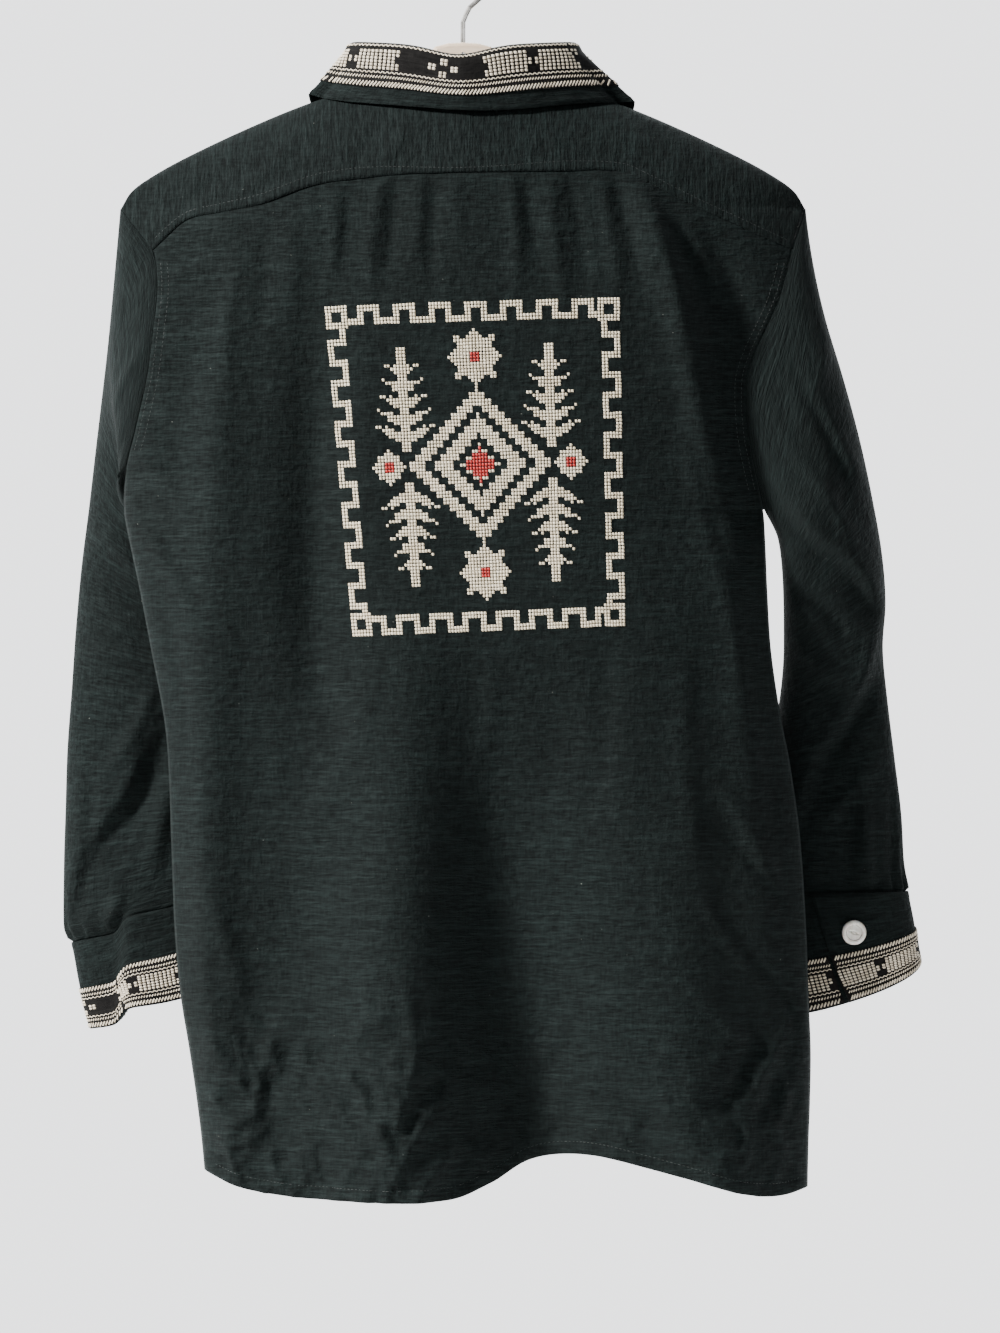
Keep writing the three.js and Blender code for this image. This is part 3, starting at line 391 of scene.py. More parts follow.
@dataclass
class HangingBody:
    """The surface of the shirt's body as it hangs: back, yoke and fronts all lie on it."""

    shoulder: Track = field(default_factory=lambda: Track(SHOULDER_LINE, "x"))
    yoke_seam: Track = field(default_factory=lambda: Track(YOKE_SEAM, "x"))
    hem: Track = field(default_factory=lambda: Track(BACK_HEM, "x"))
    edges: Track = field(default_factory=lambda: Track(BODY_EDGES, "drop"))
    depths: Track = field(default_factory=lambda: Track(BODY_DEPTH, "drop"))

    def left(self, drop: Array) -> Array:
        """Left edge of the body."""
        return self.edges.read("left", drop)

    def right(self, drop: Array) -> Array:
        """Right edge of the body."""
        return self.edges.read("right", drop)

    def edge(self, side: Side, drop: Array) -> Array:
        """One edge of the body."""
        return self.left(drop) if side is Side.LEFT else self.right(drop)

    def folds(self, face: Face, x: Array, drop: Array) -> Array:
        """Height of the large folds.

        Args:
            face: Back or front.
            x: Places across.
            drop: Distances below the hook.

        Returns:
            The sum of the folds, positive away from the body.
        """
        total = np.zeros(np.broadcast(x, drop).shape)
        for rows in BACK_FOLDS if face is Face.BACK else FRONT_FOLDS:
            track = Track(rows, "drop")
            away = (x - track.read("x", drop)) / track.read("wide", drop)
            seen = (drop >= rows[0].drop) & ((drop <= rows[-1].drop) | (rows[-1].high != 0))
            total = total + np.where(seen, track.read("high", drop) * np.exp(-away * away), 0.0)
        return total

    def depth(self, face: Face, x: Array, drop: Array) -> Array:
        """Distance of the back or the front from the middle plane.

        Args:
            face: Back or front.
            x: Places across.
            drop: Distances below the hook.

        Returns:
            The distances.
        """
        x, drop = np.broadcast_arrays(np.asarray(x, float), np.asarray(drop, float))
        left, right = self.left(drop), self.right(drop)
        across = np.clip((x - (left + right) / 2) / ((right - left) / 2), -1, 1)
        is_left = across < 0
        holes = [ARMHOLES[Side.LEFT], ARMHOLES[Side.RIGHT]]
        top = np.where(is_left, holes[0].top, holes[1].top)
        under = np.where(is_left, holes[0].under, holes[1].under)
        gape = np.where(is_left, getattr(holes[0], face.value), getattr(holes[1], face.value))
        rounding = mix(1.0, FACE_SHAPES[face].rounding, ease((drop - under + 80) / 130))
        edge = gape * np.sin(math.pi * np.clip((drop - top) / (under - top), 0, 1)) ** 0.6
        share = np.abs(across) ** FACE_SHAPES[face].power
        deep = edge * share + self.depths.read(face.value, drop) * np.maximum(1 - share, 0) ** rounding
        below = np.maximum(0.0, drop - self.shoulder.read("drop", np.abs(x)))
        parted = np.sqrt((SHOULDER_LEAN * below) ** 2 + 2 * HANGER_RADIUS * below)
        safe = np.maximum(deep, 1e-3)
        folds = self.folds(face, x, drop) * (1 - across**8) * ease(below / 30)
        return np.where(deep < 0.01, 0.0, safe * np.tanh(parted / safe) + folds)

    def on(self, face: Face, x: Array, drop: Array) -> Array:
        """Points on the back or the front."""
        sign = -1 if face is Face.BACK else 1
        return stack(x, sign * self.depth(face, x, drop), drop)

    def crossing(self, share: Array, line: Track) -> tuple[Array, Array]:
        """Where columns of the body cross a line whose drop depends on x.

        Args:
            share: Columns, -1 at the left edge and 1 at the right one.
            line: The line.

        Returns:
            x and drop of the crossings.
        """
        x = np.asarray(share, float) * BODY_HALF
        for _ in range(40):
            drop = line.read("drop", x)
            x = mix(self.left(drop), self.right(drop), (share + 1) / 2)
        return x, line.read("drop", x)

    def neck(self, angle: Array) -> Array:
        """The neck seam.

        Args:
            angle: Angles from the centre back, positive to the right.

        Returns:
            Points as rows.
        """
        x, cos = NECK_HALF * np.sin(angle), np.cos(angle)
        back = self.on(Face.BACK, x, NECK_SIDE + (NECK_BACK - NECK_SIDE) * cos**2)
        front = self.on(Face.FRONT, x, NECK_SIDE + (NECK_FRONT - NECK_SIDE) * cos**2)
        return np.where((cos >= 0)[..., None], back, front)

    def back(self, share: Array, v: Array) -> Array:
        """The back below the yoke.

        Args:
            share: Columns, -1 at the left edge and 1 at the right one.
            v: 0 at the yoke seam, 1 at the hem.

        Returns:
            x and drop as rows.
        """
        seam = self.crossing(share, self.yoke_seam)[1]
        hem = self.crossing(share, self.hem)[1]
        under = mix(ARMHOLES[Side.LEFT].under, ARMHOLES[Side.RIGHT].under, (share + 1) / 2)
        upper = mix(seam, under, v / UPPER_SHARE)
        lower = mix(under, hem, (v - UPPER_SHARE) / (1 - UPPER_SHARE))
        drop = np.where(v < UPPER_SHARE, upper, lower)
        return np.stack([mix(self.left(drop), self.right(drop), (share + 1) / 2), drop], axis=-1)

    def yoke(self, x: Array, v: Array) -> Array:
        """The yoke.

        Args:
            x: Columns by their place on the shoulder line or the back neck seam.
            v: -1 at the back seam, 0 at the top, 1 at the front seam.

        Returns:
            Points as rows.
        """
        top = np.where(
            np.abs(x) < NECK_HALF,
            NECK_BACK - (NECK_BACK - NECK_SIDE) * (x / NECK_HALF) ** 2,
            self.shoulder.read("drop", np.abs(x)),
        )
        seam_x, seam_drop = self.crossing(x / SHOULDER_HALF, self.yoke_seam)
        w = np.abs(v) ** (1 + ease(np.abs(x) / NECK_HALF))
        back = self.on(Face.BACK, mix(x, seam_x, w), mix(top, seam_drop, w))
        side = np.sign(x)
        out = np.maximum((np.abs(x) - NECK_HALF) / (SHOULDER_HALF - NECK_HALF), 0)
        tip = np.where(side < 0, self.left(SIDE_SEAM_TOP), self.right(SIDE_SEAM_TOP))
        end_x = mix(side * neck_x(FRONT_SEAM), tip, out)
        end_drop = mix(FRONT_SEAM, SIDE_SEAM_TOP, out)
        front = self.on(Face.FRONT, mix(x, end_x, v * v), mix(top, end_drop, v * v))
        return np.where((v <= 0)[..., None], back, front)

    def front(self, side: Side, c: Array, v: Array) -> Array:
        """One front.

        Args:
            side: Which front.
            c: 0 at its neck and front edge, 1 at its armhole and side.
            v: 0 at the yoke seam, 1 at the hem.

        Returns:
            Points as rows.
        """
        out = 0.55 * c + 0.45 * np.sin(math.pi / 2 * c)
        bottom = NECK_FRONT - 2
        middle = mix(ARMHOLES[Side.LEFT].under, ARMHOLES[Side.RIGHT].under, 0.5)
        under = ARMHOLES[side].under
        lower = (v - UPPER_SHARE) / (1 - UPPER_SHARE)
        inner = np.where(
            v < NECK_SHARE,
            mix(FRONT_SEAM, bottom, v / NECK_SHARE),
            np.where(
                v < UPPER_SHARE,
                mix(bottom, middle, (v - NECK_SHARE) / (UPPER_SHARE - NECK_SHARE)),
                mix(middle, FRONT_HEM, lower),
            ),
        )
        outer = np.where(
            v < UPPER_SHARE,
            mix(SIDE_SEAM_TOP, under, v / UPPER_SHARE),
            mix(under, FRONT_HEM, lower),
        )
        drop = mix(inner, outer, out)
        turned = ease((v - NECK_SHARE) / 0.05)
        inner_x = np.where(
            v < NECK_SHARE,
            side.value * neck_x(np.minimum(inner, bottom)),
            mix(side.value * neck_x(bottom), -FRONT_EDGE, turned),
        )
        return self.on(Face.FRONT, mix(inner_x, self.edge(side, outer), out), drop)

    def armhole(self, side: Side, w: Array) -> Array:
        """The armhole seam.

        Args:
            side: Which armhole.
            w: 0 at the shoulder tip, then down the back, round the underarm and up the front.

        Returns:
            Points as rows.
        """
        tip = np.full_like(w, side.value * SHOULDER_HALF)
        edge = np.full_like(w, float(side.value))
        upper = UNDERARM_SHARE - YOKE_BACK_SHARE
        back_v = np.clip((w - YOKE_BACK_SHARE) / upper, 0, 1) * UPPER_SHARE
        flat = self.back(edge, back_v)
        back = self.on(Face.BACK, flat[..., 0], flat[..., 1])
        yoke_back = self.yoke(tip, -np.clip(w / YOKE_BACK_SHARE, 0, 1))
        front_v = np.clip((UNDERARM_SHARE + upper - w) / upper, 0, 1) * UPPER_SHARE
        front = self.front(side, np.ones_like(w), front_v)
        yoke_front = self.yoke(tip, np.clip((1 - w) / YOKE_FRONT_SHARE, 1e-6, 1))
        points = np.where((w <= YOKE_BACK_SHARE)[..., None], yoke_back, back)
        points = np.where((w > UNDERARM_SHARE)[..., None], front, points)
        return np.where((w > UNDERARM_SHARE + upper)[..., None], yoke_front, points)


def neck_x(drop: Array) -> Array:
    """Half width of the front neckline."""
    return NECK_HALF * np.sqrt(1 - (drop - NECK_SIDE) / (NECK_FRONT - NECK_SIDE))


def value_noise(x: Array, y: Array, seed: float) -> Array:
    """Smooth noise from a hashed lattice of unit cells.

    Args:
        x: First coordinates.
        y: Second coordinates.
        seed: Any number; it picks the lattice.

    Returns:
        Values from -1 to 1.
    """
    cell_x, cell_y = np.floor(x), np.floor(y)

    def corner(i: Array, j: Array) -> Array:
        """Random height of one corner of the lattice."""
        wave = np.abs(np.sin(i * 127.1 + j * 311.7 + seed * 74.7)) * 43758.5453
        return 2 * (wave - np.floor(wave)) - 1

    fx, fy = ease(x - cell_x), ease(y - cell_y)
    low = mix(corner(cell_x, cell_y), corner(cell_x + 1, cell_y), fx)
    high = mix(corner(cell_x, cell_y + 1), corner(cell_x + 1, cell_y + 1), fx)
    return mix(low, high, fy)


def crumple(x: Array, y: Array, size: float, seed: float) -> Array:
    """Sharp little folds of crushed cloth.

    Args:
        x: Places across, in millimetres.
        y: Places down, in millimetres.
        size: Distance from one fold to the next.
        seed: Any number; it picks the pattern.

    Returns:
        Heights from about -1 to 1, with sharp crests.
    """
    warp_x = x + 0.45 * size * value_noise(x / size * 0.8, y / size * 0.8, seed + 3)
    warp_y = y + 0.45 * size * value_noise(x / size * 0.8, y / size * 0.8, seed + 7)
    first = 1 - 2 * np.abs(value_noise(warp_x / size, warp_y / size * 0.8, seed))
    second = 1 - 2 * np.abs(value_noise(warp_y / size * 1.3, warp_x / size * 1.1, seed + 11))
    return 0.6 * first + 0.4 * second


@dataclass(frozen=True)
class Slack:
    """Unevenness of a hanging panel: soft waves and small crumple, each with height, size and seed."""

    wave: float
    wide: float
    long: float
    seed: float
    small: float
    size: float
    small_seed: float

    def height(self, x: Array, drop: Array) -> Array:
        """Height of the waves and the crumple."""
        waves = self.wave * value_noise(x / self.wide, drop / self.long, self.seed)
        return waves + self.small * crumple(x, drop, self.size, self.small_seed)


@dataclass(frozen=True)
class SlantedCrumple:
    """A layer of crumple whose folds slant: its height, slant, share of the drop, size and seed."""

    high: float
    slant: float
    drawn: float
    size: float
    seed: float

    def height(self, x: Array, drop: Array) -> Array:
        """Height of the folds."""
        return self.high * crumple(x + self.slant * drop, self.drawn * drop, self.size, self.seed)


def crease_height(creases: Sequence[Crease], x: Array, drop: Array) -> Array:
    """Sum of placed creases.

    Args:
        creases: The creases.
        x: Places across.
        drop: Distances below the hook.

    Returns:
        Height at each place.
    """
    total = np.zeros(np.broadcast(x, drop).shape)
    for c in creases:
        run_x, run_drop = c.x1 - c.x0, c.drop1 - c.drop0
        length = math.hypot(run_x, run_drop)
        along = ((x - c.x0) * run_x + (drop - c.drop0) * run_drop) / length**2
        away = ((x - c.x0) * run_drop - (drop - c.drop0) * run_x) / length
        away = away - c.bow * np.sin(math.pi * np.clip(along, 0, 1))
        ends = ease((along + 0.15) / 0.45) * ease((1.15 - along) / 0.45)
        total = total + c.high * ends * bell(away, c.wide)
    return total


BACK_SLACK = Slack(1.1, 34, 60, 2.0, 0.4, 15, 9.0)
YOKE_SLACK = Slack(0.5, 30, 24, 4.0, 0.35, 15, 6.0)
FRONT_SLACK = Slack(0.9, 36, 64, 12.0, 0.3, 18, 13.0)
SLEEVE_SLACK = {
    Side.LEFT: Slack(1.3, 30, 42, 21.0, 0.6, 15, 23.0),
    Side.RIGHT: Slack(1.3, 30, 42, 31.0, 0.6, 15, 33.0),
}
HEM_CRUMPLE = table(SlantedCrumple, (4.4, 0.5, 0.55, 23, 1.0), (3.0, -0.35, 0.6, 12, 5.0))
BROAD_FOLDS = table(
    Crease,
    (-168, 225, -180, 800, 20, 6.5, 2), (-106, 270, -108, 790, 27, -8.5, 4),
    (-34, 470, -22, 840, 25, 4.4, 0), (60, 470, 60, 840, 26, -5.0, 3),
    (150, 540, 160, 840, 26, 3.6, 0), (118, 190, 172, 420, 13, 3.4, 8),
    (172, 420, 204, 690, 13, 3.0, 4), (150, 235, 186, 420, 15, -4.2, 8),
    (196, 410, 216, 600, 12, -3.2, 2),
)
BACK_CREASES = table(
    Crease,
    (-86, 160, -92, 232, 5, 1.6, 3), (-76, 158, -80, 212, 4, -1.4, 0),
    (-54, 152, -62, 240, 5, 2.2, -3), (-44, 152, -50, 222, 4, -1.8, 0),
    (-30, 151, -34, 215, 4.5, 2.0, 2), (-20, 151, -20, 232, 4, -1.6, 0), (-6, 150, -2, 206, 5, 1.2, 0),
    (30, 148, 36, 236, 5, 2.2, 3), (41, 148, 50, 214, 4.5, -1.6, 0), (60, 149, 70, 246, 5.5, 2.4, -3),
    (72, 150, 84, 226, 4.5, -1.8, 0), (90, 150, 106, 240, 5, 2.0, 2), (102, 152, 122, 232, 5, -2.2, 0),
    (118, 158, 150, 262, 6, 3.0, 4), (140, 176, 176, 300, 6, -2.6, 4), (150, 184, 186, 262, 5, 1.6, 3),
    (126, 232, 148, 330, 7, -1.8, 5), (146, 300, 176, 420, 7, -1.8, 4),
    (168, 396, 192, 520, 6, 1.4, 3), (-204, 226, -170, 216, 4, 1.3, 2),
    (-206, 246, -160, 240, 4, -1.4, -3), (-208, 262, -172, 276, 4, 1.5, 3),
    (-210, 282, -164, 300, 4.5, -1.6, 2), (-214, 300, -178, 330, 4, 1.6, -3),
    (-218, 322, -176, 352, 4, -1.5, 3), (-224, 342, -186, 384, 4.5, 1.8, 3),
    (-226, 362, -184, 418, 5, -1.6, -4), (-220, 392, -178, 470, 6, 1.6, 5),
    (-206, 440, -184, 560, 7, -1.6, 4), (-150, 205, -160, 300, 7, 1.6, -4),
    (-132, 190, -136, 262, 6, -1.5, 0), (-118, 182, -116, 250, 6, 1.4, 2),
    (-108, 470, -80, 560, 9, -1.4, 5), (-60, 480, -110, 610, 10, 1.3, 6),
    (20, 478, 10, 560, 8, 1.1, 4), (96, 470, 84, 600, 9, -1.3, 5), (150, 470, 162, 640, 8, 1.4, -5),
    (168, 560, 214, 640, 5, 1.6, 4), (176, 600, 226, 664, 4, -1.6, 4),
    (160, 640, 206, 700, 5, 1.8, -4), (186, 676, 228, 730, 4, -1.8, 4),
    (152, 700, 200, 764, 5, 2.2, 5), (196, 724, 170, 800, 5, -2.4, 4),
    (210, 742, 190, 822, 5, 2.4, -4), (222, 700, 224, 800, 5, -1.8, 4),
    (-172, 640, -150, 720, 7, 1.6, 4), (-168, 704, -120, 742, 5, -1.8, 4),
    (-176, 736, -134, 800, 5, 2.4, 4), (-150, 730, -118, 822, 5, -2.6, 5),
    (-122, 716, -140, 800, 5, 2.4, -5), (-104, 724, -72, 800, 5, -2.2, 4),
    (-96, 770, -118, 834, 4.5, 2.6, 3), (-64, 700, -86, 790, 5, 2.4, 4),
    (-66, 760, -40, 828, 4.5, -2.4, 4), (-38, 690, -22, 776, 5, 2.0, -4),
    (-30, 744, -54, 820, 4.5, 2.6, 3), (-8, 716, -26, 800, 4.5, -2.2, 3),
)
LEFT_SLEEVE_CREASES = table(
    Crease,
    (-240, 236, -214, 300, 6, -2.0, 4), (-246, 300, -206, 360, 6, 2.2, 5),
    (-244, 344, -190, 404, 6, -2.2, 5), (-252, 392, -186, 438, 6, 2.4, -5),
    (-256, 430, -182, 470, 6, -2.0, 4), (-260, 476, -176, 500, 6, 2.0, 5),
    (-212, 500, -246, 560, 6, 2.0, 4), (-200, 520, -232, 600, 6, -2.0, 4),
    (-186, 540, -214, 628, 6, 2.0, -4), (-256, 560, -262, 626, 5, -1.6, 3),
    (-176, 580, -192, 660, 5, -1.8, 3), (-236, 636, -252, 676, 5, 1.8, 3),
)
RIGHT_SLEEVE_CREASES = table(
    Crease,
    (236, 196, 232, 262, 6, -1.8, 3), (250, 216, 240, 300, 6, 2.0, 4),
    (230, 300, 262, 372, 6, -2.2, 5), (222, 340, 268, 410, 6, 2.2, 4),
    (240, 300, 280, 366, 5, 1.6, -4), (222, 430, 262, 470, 6, -2.2, 4),
    (226, 470, 270, 500, 6, 2.0, -4), (284, 452, 260, 520, 5, 2.0, 3),
    (276, 500, 236, 560, 6, -2.2, 4), (288, 540, 244, 592, 6, 2.0, 4),
    (264, 560, 262, 640, 5, -2.2, 3), (276, 566, 280, 640, 5, 2.2, -2),
    (292, 560, 292, 640, 4.5, -1.8, 2), (216, 560, 216, 640, 5, -1.8, 2),
)


@dataclass
class ShirtForm:
    """Every surface of the shirt as it hangs, with its creases."""

    body: HangingBody = field(default_factory=HangingBody)
    left_sleeve: Track = field(default_factory=lambda: Track(SLEEVES[Side.LEFT], "at"))
    right_sleeve: Track = field(default_factory=lambda: Track(SLEEVES[Side.RIGHT], "at"))

    def on_back(self, x: Array, drop: Array) -> Array:
        """The back below the yoke, with its creases.

        Args:
            x: Places across.
            drop: Distances below the hook.

        Returns:
            Points as rows.
        """
        x, drop = np.broadcast_arrays(np.asarray(x, float), np.asarray(drop, float))
        points = self.body.on(Face.BACK, x, drop)
        left, right = self.body.left(drop), self.body.right(drop)
        hem = self.body.hem.read("drop", x)
        seam = self.body.yoke_seam.read("drop", x)
        inside = ease((x - left) / 22) * ease((right - x) / 22)
        low = ease((drop - CRUMPLE_TOP) / 85)
        where = 0.35 + 0.65 * ease((-x + 14) / 50) + 0.5 * ease((x - 140) / 40)
        relief = (1.0 + 0.35 * ease((drop - 300) / 120) - 0.5 * low) * crease_height(BACK_CREASES, x, drop)
        relief = relief + crease_height(BROAD_FOLDS, x, drop)
        relief = relief + low * where * sum(layer.height(x, drop) for layer in HEM_CRUMPLE)
        relief = relief + BACK_SLACK.height(x, drop)
        turned = bell(hem - drop - 5, 4) * 0.7 - bell(hem - drop - 9, 1.6) * 0.5
        tucked = 0.9 * bell(drop - seam, 3)
        relief = relief * ease((drop - seam) / 9) * inside + turned - tucked
        points[..., 1] -= 0.2 + relief
        return points

    def back(self, u: Array, v: Array) -> Array:
        """The back panel."""
        flat = self.body.back(spread(u), v)
        return self.on_back(flat[..., 0], flat[..., 1])

    def yoke(self, u: Array, v: Array) -> Array:
        """The yoke.

        Args:
            u: 0 at the left shoulder tip, 1 at the right one.
            v: 0 at the front seam, 0.4 at the shoulder line, 1 at the back seam.

        Returns:
            Points as rows.
        """
        x = SHOULDER_HALF * spread(u)
        level = np.where(v < YOKE_TOP, 1 - v / YOKE_TOP, -(v - YOKE_TOP) / (1 - YOKE_TOP))
        level = np.where(np.abs(level) < 1e-4, 0.0, level)
        points = self.body.yoke(x, level)
        back = ease((v - 0.42) / 0.2)
        px, drop = points[..., 0], -points[..., 2]
        above = self.body.yoke_seam.read("drop", px) - drop
        relief = back * (
            YOKE_SLACK.height(px, drop)
            + 0.6 * bell(above - 3, 3)
            + crease_height(YOKE_CREASES, px, drop)
        )
        points[..., 1] -= relief * (1 - spread(u) ** 8) + 0.4 * back
        points[..., 2] -= 1.2 * ease((v - 0.9) / 0.1)
        return points

    def front(self, side: Side, c: Array, v: Array) -> Array:
        """One front.

        Args:
            side: Which front.
            c: 0 at its neck and front edge, 1 at its armhole and side.
            v: 0 at the yoke seam, 1 at the hem.

        Returns:
            Points as rows.
        """
        points = self.body.front(side, c, v)
        x, drop = points[..., 0], -points[..., 2]
        inside = ease((1 - c) / 0.1) * ease(v / 0.03) * ease((c - 0.08) / 0.12)
        relief = FRONT_SLACK.height(x, drop) + ease((drop - 700) / 110) * 1.5 * crumple(x, drop, 26, 14.0)
        points[..., 1] += 0.2 + relief * inside - 0.4 * bell(FRONT_HEM - drop - 9, 1.6)
        return points

    def sleeve(self, side: Side, t: Array, w: Array) -> Array:
        """A sleeve or its cuff, without lift.

        Args:
            side: Which sleeve.
            t: Row of its table, 0 at the armhole.
            w: Turns from the outer edge towards the back.

        Returns:
            Points as rows.
        """
        t, w = np.broadcast_arrays(np.asarray(t, float), np.asarray(w, float))
        track = self.left_sleeve if side is Side.LEFT else self.right_sleeve
        turn = w - np.floor(w)
        first = turn < UNDERARM_SHARE
        rest = 1 + (turn - UNDERARM_SHARE) / (1 - UNDERARM_SHARE)
        angle = math.pi * np.where(first, turn / UNDERARM_SHARE, rest)
        cos = np.sign(np.cos(angle)) * np.abs(np.cos(angle)) ** 0.9
        sin = np.sign(np.sin(angle)) * np.abs(np.sin(angle)) ** 0.9
        inner, outer, middle_y = (track.read(name, t) for name in ("in_x", "out_x", "mid_y"))
        x = mix(inner, outer, (cos + 1) / 2)
        drop = mix(track.read("in_drop", t), track.read("out_drop", t), (cos + 1) / 2)
        drop = drop + track.read("sag", t) * sin
        y = middle_y - track.read("deep", t) * sin
        behind = np.sqrt(np.maximum(sin, 0))
        creases = LEFT_SLEEVE_CREASES if side is Side.LEFT else RIGHT_SLEEVE_CREASES
        relief = 1.6 * crease_height(creases, x, drop) * ease((CUFF_ROW - t) / 0.6)
        for hang in OVERHANGS[side]:
            relief = relief + overhang_height(hang, x, drop)
        away = ease((t - 0.6) / 2) * ease((CUFF_ROW - t) / 1.5)
        slack = SLEEVE_SLACK[side]
        relief = relief + away * slack.height(x, drop)
        front_relief = away * 1.2 * value_noise(x / 28, drop / 50, slack.seed + 5)
        y = y - relief * behind + front_relief * np.sqrt(np.maximum(-sin, 0))
        gathered = bell(CUFF_ROW - t, 0.9) * ease((CUFF_ROW - t) / 0.12)
        swell = 1 + 0.035 * gathered * np.sin(2 * math.pi * turn * 17) + 0.02 * gathered
        middle_x = mix(inner, outer, 0.5)
        points = stack(middle_x + (x - middle_x) * swell, middle_y + (y - middle_y) * swell, drop)
        if side is Side.LEFT:
            points = self.bend_cuff(points, t)
        hole = self.body.armhole(side, turn)
        steps = turn * ARMHOLE_STEPS
        near_under = bell(steps - UNDERARM_STEP, 3.2)
        near_tip = bell(np.minimum(steps, ARMHOLE_STEPS - steps), 1.2)
        hole[..., 0] += side.value * (0.2 + 0.8 * near_under + 0.2 * near_tip)
        joined = hole + (points - hole) * ease(t / 3)[..., None]
        tuck = 1 - ease(t / 0.25)
        joined[..., 0] -= side.value * 1.6 * tuck
        joined[..., 1] += 0.8 * tuck * np.sign(sin)
        return np.where((t < 3)[..., None], joined, points)

    @staticmethod
    def bend_cuff(points: Array, t: Array) -> Array:
        """Give the left cuff the double bend with which it folds over itself.

        Args:
            points: Points as rows.
            t: Row of the sleeve's table at each point.

        Returns:
            The bent points.
        """
        near = ease((t - 13.2) / 0.8)
        step = np.tanh((LEFT_BEND - points[..., 0]) / 3.4)
        fade = bell(points[..., 0] - LEFT_BEND, 24)
        points[..., 2] -= near * 4.6 * step * fade
        points[..., 1] += near * 3.2 * step * fade
        return points

    def cuff(self, side: Side, t: Array, g: Array, lift: Array) -> Array:
        """A cuff, which wraps round and overlaps itself.

        Args:
            side: Which cuff.
            t: Row of the sleeve's table.
            g: Turns from its upper end to its lower one.
            lift: Distance above the cuff's middle surface.

        Returns:
            Points as rows.
        """
        t, g = np.broadcast_arrays(np.asarray(t, float), np.asarray(g, float))
        ends = ease((0.22 - g) / 0.22) + ease((g - 0.8) / 0.15)
        w = CUFF_START[side] - g - (0.03 * (t - CUFF_ROW - 1) * ends if side is Side.RIGHT else 0.0)
        raised = (MADE_UP + 0.5) * (1 - ease((g - CUFF_LAP - 0.02) / 0.2)) + lift
        return self.sleeve(side, t, w) + self.ring_normal(side, t, w) * raised[..., None]

    def ring_normal(self, side: Side, t: Array, w: Array) -> Array:
        """Outward normals of a sleeve.

        Args:
            side: Which sleeve.
            t: Row of its table.
            w: Turns round it.

        Returns:
            Unit vectors as rows.
        """
        low = np.maximum(0, t - 0.02)
        along = self.sleeve(side, t + 0.02, w) - self.sleeve(side, low, w)
        around = self.sleeve(side, t, w + 1e-3) - self.sleeve(side, t, w - 1e-3)
        return unit(np.cross(around, along)) * side.value

    def fold(self, angle: Array) -> Array:
        """The top of the stand, where the collar folds over.

        Args:
            angle: Angles from the centre back, positive to the right.

        Returns:
            Points as rows.
        """
        cos = np.cos(angle)
        base = self.body.neck(angle)
        x = FOLD_HALF * np.sin(angle)
        dip = 6.5 * bell(x + 3, 24) - 1.0
        drop = np.where(cos >= 0, 67 + 5 * cos**2 + dip * cos, 67 + 45 * cos**2)
        return stack(x, base[..., 1] - 5 * cos, drop)

    def stand(self, angle: Array, h: Array) -> Array:
        """The collar stand.

        Args:
            angle: Angles from the centre back.
            h: 0 at the neck seam, 1 at the fold.

        Returns:
            Points as rows.
        """
        past = np.degrees(np.abs(angle)) - 180 + STAND_LAP
        raised = np.where(angle > 0, (MADE_UP + 0.5) * ease((past + 26) / 20), 0)
        foot = self.body.neck(angle)
        foot[..., 2] += 1.1
        return mix(foot, self.fold(angle), h[..., None]) + outward(angle) * raised[..., None]

    def fall(self, angle: Array, v: Array) -> Array:
        """The turned-down collar.

        Args:
            angle: Angles from the centre back.
            v: 0 inside the fold, 1 at the lower edge.

        Returns:
            Points as rows.
        """
        angle, v = np.broadcast_arrays(np.asarray(angle, float), np.asarray(v, float))
        fold, away = self.fold(angle), outward(angle)

        def on_roll(at: Array) -> Array:
            """Points on the roll of the collar."""
            points = fold + away * ROLL_TRACK.read("out", at)[..., None]
            points[..., 2] += ROLL_TRACK.read("up", at)
            return points

        end = np.full_like(v, ROLL_END)
        below = (v - ROLL_END) / (1 - ROLL_END)
        lower = mix(on_roll(end), self.fall_edge(angle), below[..., None])
        points = np.where((v <= ROLL_END)[..., None], on_roll(v), lower)
        along = angle * FOLD_HALF
        wave = 0.7 * value_noise(along / 22, v * 2.2, 41.0) + 0.35 * value_noise(along / 9, v * 4, 43.0)
        rim = 0.6 * bell(v - 0.93, 0.04)
        return points + away * (wave * ease((v - 0.12) / 0.3) + rim)[..., None]

    def fall_edge(self, angle: Array) -> Array:
        """Lower edge of the collar, resting on the yoke and the fronts.

        Args:
            angle: Angles from the centre back.

        Returns:
            Points as rows.
        """
        degrees = np.degrees(np.abs(angle))
        clear = MADE_UP + 3.5
        sin = np.sin(angle)
        x_back = (FALL_HALF + 6 * sin) * sin
        wander = 1.1 * np.sin(angle * 5.0 + 0.6) * np.cos(angle)
        drop_back = 110 - 13 * sin**2 + 5 * np.maximum(0, sin) ** 3 + wander
        back = stack(
            x_back, -(self.body.depth(Face.BACK, x_back, drop_back) + clear * np.cos(angle)), drop_back
        )
        f = np.clip((degrees - 90) / (COLLAR_END - 90), 0, 1)
        x = np.sign(angle) * mix(FALL_HALF + 6 * np.sign(angle), 62, f**1.5)
        drop = 97 + 74 * f + np.where(angle > 0, 5 * (1 - f), 0)
        front = stack(x, self.body.depth(Face.FRONT, x, drop) + clear * ease(0.4 + 4 * f), drop)
        return np.where((degrees <= 90)[..., None], back, front)


